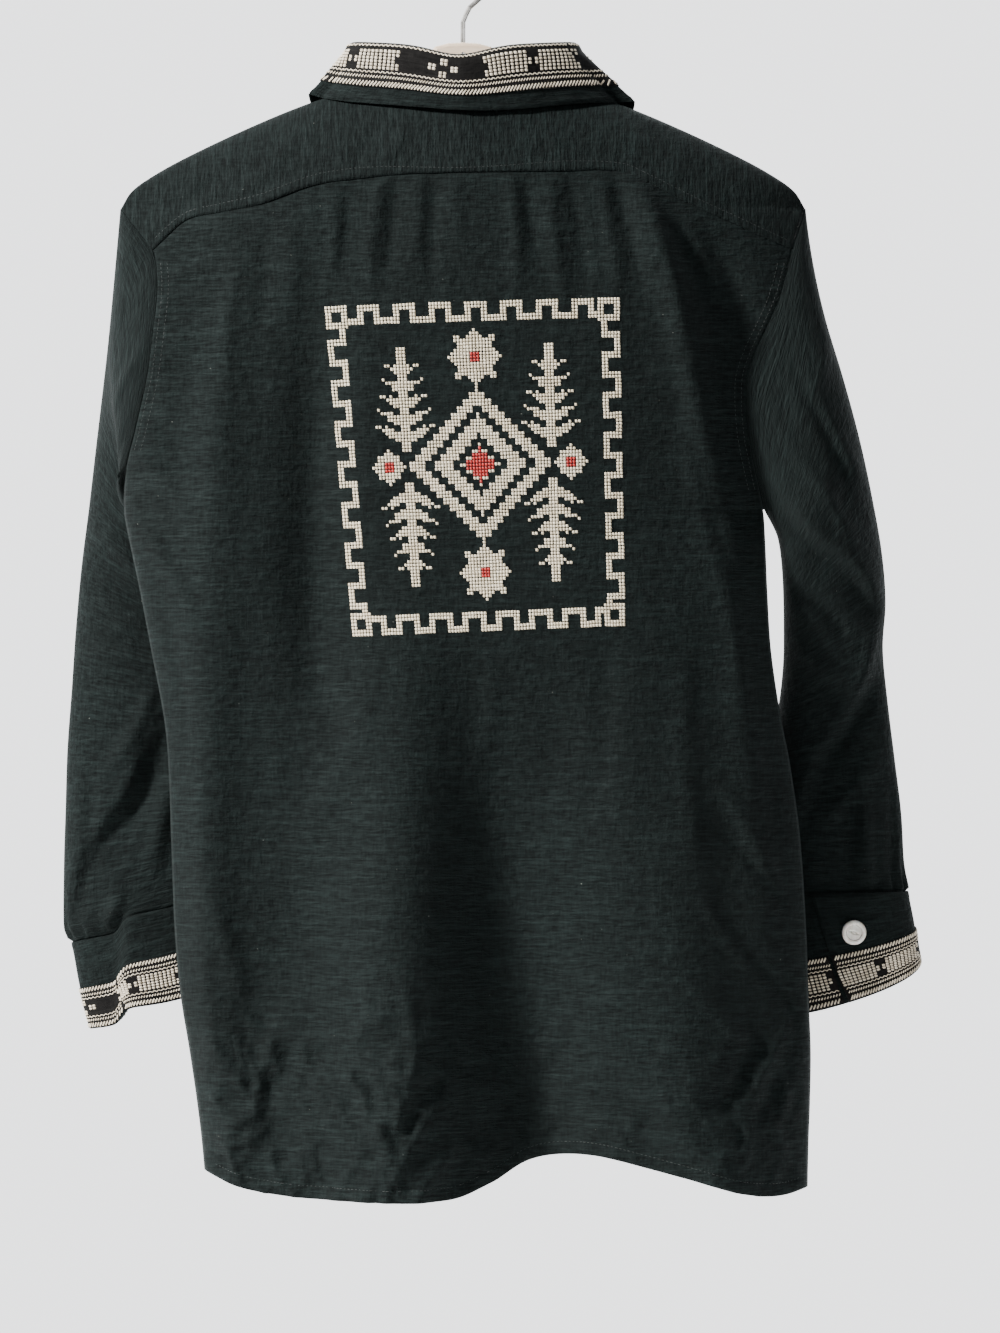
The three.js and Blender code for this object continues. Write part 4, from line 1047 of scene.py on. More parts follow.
def overhang_height(hang: Overhang, x: Array, drop: Array) -> Array:
    """Height of a sleeve fold that hangs over the cloth below it.

    Args:
        hang: The fold.
        x: Places across.
        drop: Distances below the hook.

    Returns:
        Height towards the viewer.
    """
    run_x, run_drop = hang.x1 - hang.x0, hang.drop1 - hang.drop0
    length = math.hypot(run_x, run_drop)
    along = ((x - hang.x0) * run_x + (drop - hang.drop0) * run_drop) / length**2
    above = ((hang.drop0 - drop) * abs(run_x) + math.copysign(1, run_x) * (x - hang.x0) * run_drop) / length
    above = above + 3.0 * np.sin(along * 7.0)
    ends = ease((along + 0.25) / 0.4) * ease((1.25 - along) / 0.4)
    step = ease((above + 7) / 14)
    over = hang.over * np.exp(-np.maximum(0, above) / hang.reach)
    under = hang.under * np.exp(np.minimum(0, above) / (hang.reach * 0.6))
    return ends * (step * over - (1 - step) * under)


def spread(u: Array) -> Array:
    """Columns of the body, a little closer at the sides where it turns."""
    s = 2 * u - 1
    return 0.7 * s + 0.3 * np.sin(math.pi / 2 * s)


def outward(angle: Array) -> Array:
    """Horizontal directions away from the neck."""
    return unit(stack(np.sin(angle) / FOLD_HALF, -np.cos(angle) / 40, np.zeros_like(angle)))


@dataclass(frozen=True)
class RollRow:
    """One point of the collar's roll, measured from the top of the stand."""

    at: float
    out: float
    up: float


YOKE_CREASES = table(
    Crease,
    (-40, 122, -54, 148, 4, 1.0, 1), (-58, 118, -74, 150, 4, -0.9, 1), (52, 116, 70, 146, 4, 0.9, 1),
    (84, 118, 112, 146, 4, -1.0, 1), (110, 122, 150, 160, 5, 1.1, 2),
    (-110, 124, -150, 166, 5, 1.0, 2), (150, 142, 190, 176, 5, -1.0, 2),
    (-160, 150, -196, 178, 4, -0.9, 1),
)
ROLL_TRACK = Track(
    table(RollRow, (0, -1.9, 3.5), (0.05, 0.5, 4.3), (0.1, 3.3, 2.7), (ROLL_END, 4.9, -1.2)), "at"
)


@dataclass(frozen=True)
class ClothFinish:
    """Colours and strengths of a slub weave."""

    dark: tuple[float, float, float]
    light: tuple[float, float, float]
    bump: float
    sheen: float
    lint: float


@dataclass(frozen=True)
class ThreadFinish:
    """Colours and gloss of a stitched thread."""

    shade: tuple[float, float, float]
    bright: tuple[float, float, float]
    roughness: float


SHIRT_CLOTH = ClothFinish((0.0004, 0.0013, 0.0013), (0.0056, 0.0112, 0.0108), 1.0, 0.03, 1.0)
TRIM_GROUND = ClothFinish((0.0018, 0.0016, 0.0016), (0.0062, 0.0056, 0.0052), 0.4, 0.03, 0.0)
CREAM_THREAD = ThreadFinish((0.50, 0.42, 0.29), (0.78, 0.70, 0.54), 0.55)
TRIM_THREAD = ThreadFinish((0.42, 0.36, 0.27), (0.68, 0.61, 0.49), 0.55)
RED_THREAD = ThreadFinish((0.26, 0.004, 0.002), (0.44, 0.010, 0.005), 0.5)
SEAM_THREAD = ThreadFinish((0.003, 0.005, 0.005), (0.012, 0.018, 0.017), 0.6)


class NodeSketch:
    """A procedural material being wired up."""

    def __init__(self, name: str) -> None:
        """Start a material.

        Args:
            name: The material's name.
        """
        self.material = bpy.data.materials.new(name)
        self.material.use_nodes = True
        self.tree = self.material.node_tree
        self.shader = self.tree.nodes["Principled BSDF"]

    def node(
        self, kind: str, inputs: dict[str | int, object] | None = None, **settings: object
    ) -> bpy.types.Node:
        """Add a node.

        Args:
            kind: Its Blender type.
            inputs: Values for its sockets, or sockets to link to them.
            settings: Its properties.

        Returns:
            The node.
        """
        made = self.tree.nodes.new(kind)
        for key, value in settings.items():
            setattr(made, key, value)
        for key, value in (inputs or {}).items():
            self.feed(made.inputs[key], value)
        return made

    def feed(self, socket: Socket, value: object) -> None:
        """Set or link a socket.

        Args:
            socket: The input.
            value: A value, or an output to link.
        """
        if isinstance(value, Socket):
            self.tree.links.new(value, socket)
        else:
            socket.default_value = value

    def noise(self, vector: Socket, scale: Sequence[float], detail: float = 2.0) -> Socket:
        """Noise stretched along the axes.

        Args:
            vector: Coordinates in metres.
            scale: Repeats per metre along each axis.
            detail: Octaves.

        Returns:
            The noise's value.
        """
        mapped = self.node("ShaderNodeMapping", {"Vector": vector, "Scale": tuple(scale)})
        made = self.node("ShaderNodeTexNoise", {"Vector": mapped.outputs[0], "Scale": 1.0, "Detail": detail})
        return made.outputs[0]

    def maths(self, kind: str, a: object, b: object) -> Socket:
        """A maths node."""
        return self.node("ShaderNodeMath", {0: a, 1: b}, operation=kind).outputs[0]

    def plus(self, a: object, b: object) -> Socket:
        """The sum of two values."""
        return self.maths("ADD", a, b)

    def minus(self, a: object, b: object) -> Socket:
        """The first value less the second."""
        return self.maths("SUBTRACT", a, b)

    def times(self, a: object, b: object) -> Socket:
        """The product of two values."""
        return self.maths("MULTIPLY", a, b)

    def band(self, value: object, low: float, high: float) -> Socket:
        """A value stretched so that low becomes 0 and high becomes 1."""
        return self.node("ShaderNodeMapRange", {0: value, 1: low, 2: high}).outputs[0]

    def blend(self, factor: object, a: object, b: object) -> Socket:
        """A colour mix.

        Args:
            factor: Share of b.
            a: First colour.
            b: Second colour.

        Returns:
            The mixed colour.
        """
        made = self.node("ShaderNodeMix", data_type="RGBA")
        for key, value in ((0, factor), (6, rgba(a)), (7, rgba(b))):
            self.feed(made.inputs[key], value)
        return made.outputs[2]

    def bump(self, height: object, strength: float, distance: float) -> None:
        """Send a height to the shader's normal."""
        made = self.node("ShaderNodeBump", {"Height": height, "Strength": strength, "Distance": distance})
        self.feed(self.shader.inputs["Normal"], made.outputs[0])

    def shade(self, **values: object) -> Material:
        """Set the shader's own sockets.

        Args:
            values: Socket names with underscores, and values or sockets.

        Returns:
            The finished material.
        """
        for key, value in values.items():
            self.feed(self.shader.inputs[key.replace("_", " ")], value)
        return self.material


def rgba(colour: object) -> object:
    """A colour with its alpha, or a socket as it is."""
    return (*colour, 1.0) if isinstance(colour, tuple) and len(colour) == 3 else colour


class Finishes:
    """All materials of the shirt and its hanger."""

    def __init__(self) -> None:
        """Make them."""
        self.cloth = self.woven("slub_cloth", SHIRT_CLOTH)
        self.ground = self.woven("trim_ground", TRIM_GROUND)
        self.cream = self.thread("embroidery_cream", CREAM_THREAD)
        self.trim = self.thread("trim_cream", TRIM_THREAD)
        self.red = self.thread("embroidery_red", RED_THREAD)
        self.seam = self.thread("seam_thread", SEAM_THREAD)
        self.shell = self.button_shell()
        self.wood = self.varnished_wood()
        self.steel = self.plated_steel()

    @staticmethod
    def woven(name: str, finish: ClothFinish) -> Material:
        """Uneven hand-woven cloth: fine weft lines with thicker slubs, and a weaker warp.

        Args:
            name: The material's name.
            finish: Its colours and strengths.

        Returns:
            The material.
        """
        sketch = NodeSketch(name)
        cut = sketch.node("ShaderNodeUVMap", uv_map="cut").outputs[0]
        weft = sketch.band(sketch.noise(cut, (120, 760, 1)), 0.36, 0.66)
        slub = sketch.band(sketch.noise(cut, (26, 300, 1), 3.0), 0.47, 0.70)
        warp = sketch.band(sketch.noise(cut, (640, 90, 1)), 0.38, 0.64)
        worn = sketch.band(sketch.noise(cut, (7, 6, 1), 4.0), 0.3, 0.7)
        crinkle = sketch.noise(cut, (150, 190, 1), 3.0)
        lines = sketch.plus(sketch.times(weft, 0.45), sketch.times(slub, 0.35))
        lines = sketch.plus(lines, sketch.times(warp, 0.2))
        tone = sketch.times(lines, sketch.plus(sketch.times(worn, 0.4), 0.7))
        colour = sketch.blend(tone, finish.dark, finish.light)
        speck = sketch.band(sketch.noise(cut, (420, 420, 1), 1.0), 0.80, 0.84)
        colour = sketch.blend(sketch.times(speck, 0.5 * finish.lint), colour, (0.20, 0.21, 0.19))
        height = sketch.plus(sketch.times(lines, 0.6), sketch.times(crinkle, 2.0))
        sketch.bump(height, finish.bump, 0.0008)
        return sketch.shade(
            Base_Color=colour,
            Roughness=sketch.minus(0.95, sketch.times(lines, 0.2)),
            Specular_IOR_Level=0.14,
            Sheen_Weight=finish.sheen,
            Sheen_Roughness=0.45,
            Sheen_Tint=(0.62, 0.80, 0.80, 1.0),
        )

    @staticmethod
    def thread(name: str, finish: ThreadFinish) -> Material:
        """Stranded thread, a little different in tone from stitch to stitch.

        Args:
            name: The material's name.
            finish: Its colours and gloss.

        Returns:
            The material.
        """
        sketch = NodeSketch(name)
        cut = sketch.node("ShaderNodeUVMap", uv_map="cut").outputs[0]
        strands = sketch.noise(cut, (500, 5200, 1), 1.0)
        tone = sketch.node("ShaderNodeAttribute", attribute_name="tone").outputs["Fac"]
        mixed = sketch.plus(sketch.times(strands, 0.5), sketch.times(tone, 0.6))
        sketch.bump(strands, 0.4, 0.0002)
        return sketch.shade(
            Base_Color=sketch.blend(sketch.band(mixed, 0.15, 0.95), finish.shade, finish.bright),
            Roughness=sketch.plus(sketch.times(strands, 0.2), finish.roughness - 0.1),
            Sheen_Weight=0.15,
            Sheen_Roughness=0.4,
        )

    @staticmethod
    def button_shell() -> Material:
        """Pale mother-of-pearl with a soft cloudy figure.

        Returns:
            The material.
        """
        sketch = NodeSketch("pearl_button")
        place = sketch.node("ShaderNodeTexCoord").outputs["Object"]
        cloud = sketch.noise(place, (160, 160, 90), 4.0)
        layers = sketch.noise(place, (900, 300, 300), 2.0)
        figure = sketch.plus(sketch.times(cloud, 0.7), sketch.times(layers, 0.3))
        pearl = sketch.blend(sketch.band(figure, 0.35, 0.65), (0.60, 0.55, 0.48), (0.86, 0.84, 0.80))
        sketch.bump(figure, 0.1, 0.0002)
        return sketch.shade(
            Base_Color=pearl,
            Roughness=sketch.plus(sketch.times(cloud, 0.2), 0.16),
            Coat_Weight=0.5,
            Coat_Roughness=0.08,
            Subsurface_Weight=0.08,
            Subsurface_Scale=0.002,
        )

    @staticmethod
    def varnished_wood() -> Material:
        """Pale varnished wood with long grain.

        Returns:
            The material.
        """
        sketch = NodeSketch("hanger_wood_varnish")
        place = sketch.node("ShaderNodeTexCoord").outputs["Object"]
        grain = sketch.noise(place, (14, 260, 170), 4.0)
        pores = sketch.band(sketch.noise(place, (60, 1500, 900), 2.0), 0.58, 0.7)
        colour = sketch.blend(sketch.band(grain, 0.3, 0.7), (0.58, 0.43, 0.30), (0.78, 0.66, 0.53))
        colour = sketch.blend(sketch.times(pores, 0.35), colour, (0.34, 0.22, 0.13))
        sketch.bump(sketch.minus(grain, sketch.times(pores, 0.3)), 0.15, 0.0003)
        return sketch.shade(
            Base_Color=colour,
            Roughness=sketch.plus(sketch.times(grain, 0.15), 0.3),
            Coat_Weight=0.35,
            Coat_Roughness=0.15,
        )

    @staticmethod
    def plated_steel() -> Material:
        """Nickel-plated wire, drawn lengthways and slightly worn.

        Returns:
            The material.
        """
        sketch = NodeSketch("plated_steel")
        place = sketch.node("ShaderNodeTexCoord").outputs["Object"]
        drawn = sketch.noise(place, (900, 900, 60), 3.0)
        worn = sketch.band(sketch.noise(place, (140, 140, 140), 3.0), 0.45, 0.75)
        sketch.bump(drawn, 0.08, 0.0001)
        return sketch.shade(
            Base_Color=sketch.blend(worn, (0.62, 0.61, 0.59), (0.46, 0.44, 0.41)),
            Metallic=1.0,
            Roughness=sketch.plus(sketch.times(drawn, 0.2), 0.18),
        )


def shown(name: str, mesh: bpy.types.Mesh, material: Material) -> bpy.types.Object:
    """Put a mesh in the scene as a piece of the shirt.

    Args:
        name: The piece's name.
        mesh: Its mesh.
        material: Its material.

    Returns:
        The object.
    """
    piece = bpy.data.objects.new(name, mesh)
    mesh.materials.append(material)
    mesh.shade_smooth()
    bpy.context.scene.collection.objects.link(piece)
    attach(piece, "root")
    return piece


def paint_cut(mesh: bpy.types.Mesh, at_vertices: Array) -> None:
    """Give a mesh the UV map that its weave follows.

    Args:
        mesh: The mesh.
        at_vertices: A place in the flat cut for each vertex, in metres.
    """
    loops = np.empty(len(mesh.loops), dtype=np.int32)
    mesh.loops.foreach_get("vertex_index", loops)
    mesh.uv_layers.new(name="cut").data.foreach_set("uv", at_vertices[loops].astype(np.float32).ravel())


def strip_cut(wide: float, long: float, start: float = 0.0) -> FlatCut:
    """Flat cut of a strip."""
    return lambda u, v, points: np.stack([u * wide, -v * long - start], axis=-1)


@dataclass
class Panel:
    """One cut piece of cloth as a thin wall on its surface."""

    name: str
    node: str
    across: int
    down: int
    place: Surface
    cut: FlatCut
    thick: float = 0.9
    inside_out: bool = False
    ring: bool = False
    leave_out: Surface | None = None

    def build(self, material: Material, slot: str = "cloth") -> bpy.types.Object:
        """Make the piece.

        Args:
            material: Its material.
            slot: Not used.

        Returns:
            The object.
        """
        flat = bmesh.new()
        bmesh.ops.create_grid(flat, x_segments=self.across, y_segments=self.down, size=0.5)
        if self.leave_out:
            middles = np.array([face.calc_center_median() for face in flat.faces])
            unused = self.leave_out(middles[:, 0] + 0.5, 0.5 - middles[:, 1])
            dropped = [face for face, out in zip(list(flat.faces), unused) if out]
            bmesh.ops.delete(flat, geom=dropped, context="FACES")
        mesh = bpy.data.meshes.new(self.name)
        flat.to_mesh(mesh)
        flat.free()
        spots = np.empty(3 * len(mesh.vertices))
        mesh.vertices.foreach_get("co", spots)
        spots = spots.reshape(-1, 3)
        u, v = np.clip(spots[:, 0] + 0.5, 0, 1), np.clip(0.5 - spots[:, 1], 0, 1)
        points = self.place(u, v)
        paint_cut(mesh, self.cut(u, v, points))
        mesh.vertices.foreach_set("co", (points * MM).ravel())
        mesh.update()
        if self.ring or self.inside_out:
            shaped = bmesh.new()
            shaped.from_mesh(mesh)
            if self.ring:
                bmesh.ops.remove_doubles(shaped, verts=shaped.verts, dist=1e-5)
            if self.inside_out:
                bmesh.ops.reverse_faces(shaped, faces=shaped.faces)
            shaped.to_mesh(mesh)
            shaped.free()
        piece = shown(self.name, mesh, material)
        wall = piece.modifiers.new("thickness", "SOLIDIFY")
        wall.thickness = self.thick * MM
        wall.offset = -1
        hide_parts(self.node)
        return piece


@dataclass(frozen=True)
class Frames:
    """Places of stitches with their directions: along, across and away from the cloth."""

    at: Array
    along: Array
    across: Array
    away: Array


@dataclass
class Patch:
    """A surface on which stitches lie, with two coordinates of its own."""

    place: Surface
    step_a: float = 0.5
    step_b: float = 0.5
    sign: int = 1

    def frames(self, a: Array, b: Array, angle: Array | float) -> Frames:
        """Frames at places of the surface.

        Args:
            a: First coordinates.
            b: Second coordinates.
            angle: Turn from the first coordinate's direction towards the second's, in radians.

        Returns:
            The frames.
        """
        da = unit(self.place(a + self.step_a, b) - self.place(a - self.step_a, b))
        db = unit(self.place(a, b + self.step_b) - self.place(a, b - self.step_b))
        away = unit(np.cross(da, db)) * self.sign
        turn = np.broadcast_to(np.asarray(angle, float), a.shape)[..., None]
        along = unit(np.cos(turn) * da + np.sin(turn) * db)
        return Frames(self.place(a, b), along, np.cross(away, along), away)

    def run(self, a: Array, b: Array, pitch: float) -> Frames:
        """Frames at equal steps along a line on the surface.

        Args:
            a: First coordinates of the line's points.
            b: Second coordinates.
            pitch: The step, in millimetres.

        Returns:
            The frames, with their first direction along the line.
        """
        line = self.place(a, b)
        length = np.concatenate([[0], np.cumsum(np.linalg.norm(np.diff(line, axis=0), axis=1))])
        stops = np.arange(pitch / 2, length[-1], pitch)
        a_stop, b_stop = np.interp(stops, length, a), np.interp(stops, length, b)
        flat = self.frames(a_stop, b_stop, 0.0)
        ahead = self.place(np.interp(stops + 0.5, length, a), np.interp(stops + 0.5, length, b))
        behind = self.place(np.interp(stops - 0.5, length, a), np.interp(stops - 0.5, length, b))
        along = unit(ahead - behind)
        return Frames(flat.at, along, np.cross(flat.away, along), flat.away)


class StitchWork:
    """Many stitches of one thread as a single mesh."""

    def __init__(self, name: str, seed: int) -> None:
        """Start with no stitches.

        Args:
            name: The piece's name.
            seed: Seed of the tones.
        """
        self.name = name
        self.points: list[Array] = []
        self.random = np.random.default_rng(seed)
        template = bmesh.new()
        bmesh.ops.create_grid(template, x_segments=3, y_segments=3, size=1.0)
        self.spots = np.array([vert.co[:2] for vert in template.verts])
        self.faces = np.array([[vert.index for vert in face.verts] for face in template.faces])
        template.free()
        self.spots = np.sign(self.spots) * np.abs(self.spots) ** 0.7
        self.bulge = (1 - np.abs(self.spots[:, 0]) ** 4) * (1 - np.abs(self.spots[:, 1]) ** 3)

    def add(self, frames: Frames, half_long: float, half_wide: float, high: float) -> None:
        """Add stitches.

        Args:
            frames: Their places and directions.
            half_long: Half their length.
            half_wide: Half their width.
            high: How far they bulge.
        """
        s, t = self.spots[:, 0][None, :, None], self.spots[:, 1][None, :, None]
        rise = ((high + SUNK) * self.bulge - SUNK)[None, :, None]
        self.points.append(
            frames.at[:, None, :]
            + s * half_long * frames.along[:, None, :]
            + t * half_wide * frames.across[:, None, :]
            + rise * frames.away[:, None, :]
        )

    def build(self, material: Material, slot: str) -> bpy.types.Object:
        """Join all stitches in one mesh.

        Args:
            material: The thread.
            slot: Not used.

        Returns:
            The object.
        """
        points = np.concatenate(self.points)
        count, size = points.shape[0], points.shape[1]
        faces = (self.faces[None] + (np.arange(count) * size)[:, None, None]).reshape(-1, 4)
        mesh = bpy.data.meshes.new(self.name)
        mesh.from_pydata((points * MM).reshape(-1, 3), [], faces)
        tones = np.repeat(self.random.random(count), size).astype(np.float32)
        mesh.attributes.new("tone", "FLOAT", "POINT").data.foreach_set("value", tones)
        own = self.spots[None] * 0.001 + self.random.random((count, 1, 2)) * 0.5
        paint_cut(mesh, own.reshape(-1, 2))
        return shown(self.name, mesh, material)


@dataclass(frozen=True)
class Stripe:
    """Two like stripes of slanting stitches: their middles, and their stitches' pitch, size and lean."""

    middles: tuple[float, float]
    pitch: float
    half_long: float
    half_wide: float
    lean: float
    high: float


@dataclass(frozen=True)
class WovenBand:
    """Layout of the woven trim across its width, in millimetres from its upper edge."""

    thick: Stripe = Stripe((2.65, 37.95), 2.2, 2.45, 0.62, 50, 0.55)
    thin: Stripe = Stripe((7.7, 32.9), 1.9, 1.3, 0.48, 46, 0.5)
    zigzag: Stripe = Stripe((11.1, 29.5), 3.1, 1.15, 0.42, 40, 0.4)
    zigzag_shift: float = 1.55
    motif_top: float = 12.95
    rows: int = 6
    row_pitch: float = 2.45
    column_pitch: float = 2.93
    period: float = 42.5
    end_margin: float = 0.8
    top_margin: float = 0.6

    def motif_cells(self) -> Array:
        """One repeat of the motif band: two boxes that face each other, and half a flower at each end.

        Returns:
            Columns and rows of its stitches.
        """
        box = [(11.5 + i, r) for i in range(9) for r in range(self.rows)]
        notch = [(10.5, r) for r in (0, 1, 4, 5)]
        tab = [(20.5, r) for r in (2, 3)]
        flower = [(0.5, r) for r in (0, 1, 4, 5)] + [(2.2 + i, r) for i in (0, 1) for r in (2, 3)]
        half = box + notch + tab + flower
        return np.array(half + [(self.period - c, r) for c, r in half], float)


class Ribbon:
    """The woven trim laid along a surface and stitched in cream on black."""

    def __init__(self, place: Surface, start: float, end: float,
                 top: float, phase: float, sign: int, squeeze: float = 1.0) -> None:
        """Set it out.

        Args:
            place: Surface under the trim, by millimetres along and across it.
            start: Where it begins, along.
            end: Where it ends.
            top: First visible millimetre across.
            phase: Place along of a flower's middle.
            sign: Side of the surface that faces out.
            squeeze: Its real width against the woven one.
        """
        self.band = WovenBand()
        self.patch = Patch(place, 0.4, 0.4, sign)
        self.start, self.end, self.top, self.phase = start, end, top, phase
        self.slant = sign
        self.squeeze = squeeze

    def stitch(self, work: StitchWork) -> None:
        """Lay all stitches of the trim.

        Args:
            work: The stitch mesh to add to.
        """
        band = self.band
        for stripe in (band.thick, band.thin):
            for middle in stripe.middles:
                size = (stripe.half_long * self.squeeze, stripe.half_wide)
                self.row(work, stripe, middle, size, math.radians(self.slant * stripe.lean))
        stripe = band.zigzag
        for middle in stripe.middles:
            for turn, shift in ((1, 0.0), (-1, band.zigzag_shift)):
                size = (stripe.half_long, stripe.half_wide * self.squeeze)
                self.row(work, stripe, middle, size, math.radians(turn * stripe.lean * self.squeeze), shift)
        cells = band.motif_cells()
        repeat = band.period * band.column_pitch
        first = math.floor((self.start - self.phase) / repeat) - 1
        last = math.ceil((self.end - self.phase) / repeat) + 1
        for k in range(first, last):
            along = self.phase + k * repeat + cells[:, 0] * band.column_pitch
            across = band.motif_top + (cells[:, 1] + 0.5) * band.row_pitch
            self.lay(work, along, across, 1.02 * self.squeeze, 1.2, math.radians(90), 0.7)

    def row(self, work: StitchWork, stripe: Stripe, middle: float, size: tuple[float, float],
            angle: float, shift: float = 0.0) -> None:
        """Lay a stripe of slanting stitches.

        Args:
            work: The stitch mesh to add to.
            stripe: The stripe.
            middle: Where its middle lies across.
            size: Half length and half width of a stitch on this surface.
            angle: Turn from the trim's length.
            shift: How much later it starts.
        """
        margin = self.band.end_margin
        along = np.arange(self.start + margin + shift, self.end - margin, stripe.pitch)
        self.lay(work, along, np.full_like(along, middle), *size, angle, stripe.high)

    def lay(self, work: StitchWork, along: Array, across: Array, half_long: float,
            half_wide: float, angle: float, high: float) -> None:
        """Lay stitches that are inside the trim.

        Args:
            work: The stitch mesh to add to.
            along: Places along.
            across: Places across.
            half_long: Half a stitch's length.
            half_wide: Half its width.
            angle: Turn from the trim's length.
            high: How far it bulges.
        """
        margin = self.band.end_margin
        inside = (along > self.start + margin) & (along < self.end - margin)
        inside &= across > self.top + self.band.top_margin
        if inside.any():
            frames = self.patch.frames(along[inside], across[inside], angle)
            work.add(frames, half_long, half_wide, high)


@dataclass(frozen=True)
class EmbroideryCorners:
    """Corners of the embroidered panel on the back, as x and drop."""

    top_left: tuple[float, float] = (-93.3, 243.2)
    top_right: tuple[float, float] = (106.0, 237.2)
    bottom_right: tuple[float, float] = (109.9, 458.7)
    bottom_left: tuple[float, float] = (-74.5, 466.1)


class Chart:
    """Counted-stitch design: a stepped frame round a field of stars, a stepped diamond and small trees."""

    wide = 91
    high = 98

    def __init__(self) -> None:
        """Chart the cream and the red cells."""
        i, j = np.meshgrid(np.arange(self.wide), np.arange(self.high), indexing="ij")
        self.i, self.j = i, j
        self.cream = np.zeros(i.shape, bool)
        self.red = np.zeros(i.shape, bool)
        self.frame()
        self.field()
        self.cream &= ~self.red

    def frame(self) -> None:
        """A stepped meander with a square loop at each corner."""
        i, j = self.i, self.j
        along_x, along_y = (i - 7) % 11, (j - 7) % 12
        between_x = (i >= 7) & (i < self.wide - 7)
        between_y = (j >= 7) & (j < self.high - 7)
        first = 3
        for depth, along, between, last in (
            (j, along_x, between_x, 9),
            (self.high - 1 - j, along_x, between_x, 9),
            (i, along_y, between_y, 10),
            (self.wide - 1 - i, along_y, between_y, 10),
        ):
            outer = (depth < 2) & (along >= first) & (along <= last)
            inner = (depth >= 4) & (depth < 6) & ((along <= first + 1) | (along >= last - 1))
            first_wall = (along >= first) & (along <= first + 1)
            last_wall = (along >= last - 1) & (along <= last)
            self.cream |= between & (outer | inner | (depth < 6) & (first_wall | last_wall))
        for low_x in (0, self.wide - 7):
            for low_y in (0, self.high - 7):
                ring_x, ring_y = np.abs(i - low_x - 3), np.abs(j - low_y - 3)
                far = np.maximum(ring_x, ring_y)
                self.cream |= (far <= 3) & (far >= 2)

    def field(self) -> None:
        """The motifs inside the frame."""
        x, y = self.i - 45, self.j - 48
        ax, ay = np.abs(x), np.abs(y)
        step = ax + 2 * (ay // 2)
        self.cream |= (step <= 22) & (step > 17)
        self.cream |= (step <= 14) & (step > 8)
        self.red |= step <= 4
        self.cream |= (step <= 6) & (step > 4) & (ay % 2 == 0)
        for top in (-1, 1):
            self.star(45, 48 + top * 32, 8)
            self.tree(22, 48 + top * 20, top)
            self.tree(68, 48 + top * 20, top)
        self.star(16, 48, 5)
        self.star(74, 48, 5)

    def star(self, cx: int, cy: int, size: int) -> None:
        """An eight-pointed star with a red heart.

        Args:
            cx: Column of its middle.
            cy: Row of its middle.
            size: Half its width.
        """
        ax, ay = np.abs(self.i - cx), np.abs(self.j - cy)
        low, high = np.minimum(ax, ay), np.maximum(ax, ay)
        arms = (high <= size) & (low <= size - high)
        diagonal = (low >= high - 1) & (high <= size - 2)
        self.cream |= (arms | diagonal) & (high > 1)
        self.red |= high <= 1

    def tree(self, cx: int, cy: int, lean: int) -> None:
        """A small tree with slanting branches.

        Args:
            cx: Column of its trunk.
            cy: Row of its middle.
            lean: 1 if its branches point down the chart, -1 if up.
        """
        ax, y = np.abs(self.i - cx), (self.j - cy) * lean
        self.cream |= (ax <= 1) & (np.abs(y) <= 15)
        for k in range(5):
            branch = np.abs(y - (-11 + 5 * k) - (ax - 2) // 2)
            self.cream |= (branch <= 0.5) & (ax >= 2) & (ax <= 9 - k)
            self.cream |= (branch <= 1) & (ax >= 2) & (ax <= 6 - k)


class Embroidery:
    """The counted-stitch panel on the back."""

    half_long = 1.03
    half_wide = 0.98
    bulge = 0.7
    wander = 0.22

    def __init__(self, form: ShirtForm) -> None:
        """Chart it."""
        self.patch = Patch(form.on_back, 1.2, 1.2, -1)
        self.chart = Chart()

    def places(self, cells: Array) -> tuple[Array, Array]:
        """Where cells of the chart lie on the back.

        Args:
            cells: Which cells.

        Returns:
            x and drop of their middles.
        """
        corners = EmbroideryCorners()
        i, j = np.nonzero(cells)
        s, t = (i + 0.5) / self.chart.wide, (j + 0.5) / self.chart.high
        out = []
        for k in (0, 1):
            top = mix(corners.top_left[k], corners.top_right[k], s)
            bottom = mix(corners.bottom_left[k], corners.bottom_right[k], s)
            out.append(mix(top, bottom, t) + self.wander * value_noise(i / 3.1, j / 3.1, 51.0 + k))
        return out[0], out[1]

    def build(self, finishes: Finishes) -> list[bpy.types.Object]:
        """Make the cream and the red stitches.

        Args:
            finishes: The materials.

        Returns:
            The two objects.
        """
        pieces = []
        for name, cells, thread in (
            ("back_embroidery_cream", self.chart.cream, finishes.cream),
            ("back_embroidery_red", self.chart.red, finishes.red),
        ):
            work = StitchWork(name, 7)
            x, drop = self.places(cells)
            frames = self.patch.frames(x, drop, math.pi / 2)
            work.add(frames, self.half_long, self.half_wide, self.bulge)
            pieces.append(work.build(thread, "cloth"))
        return pieces


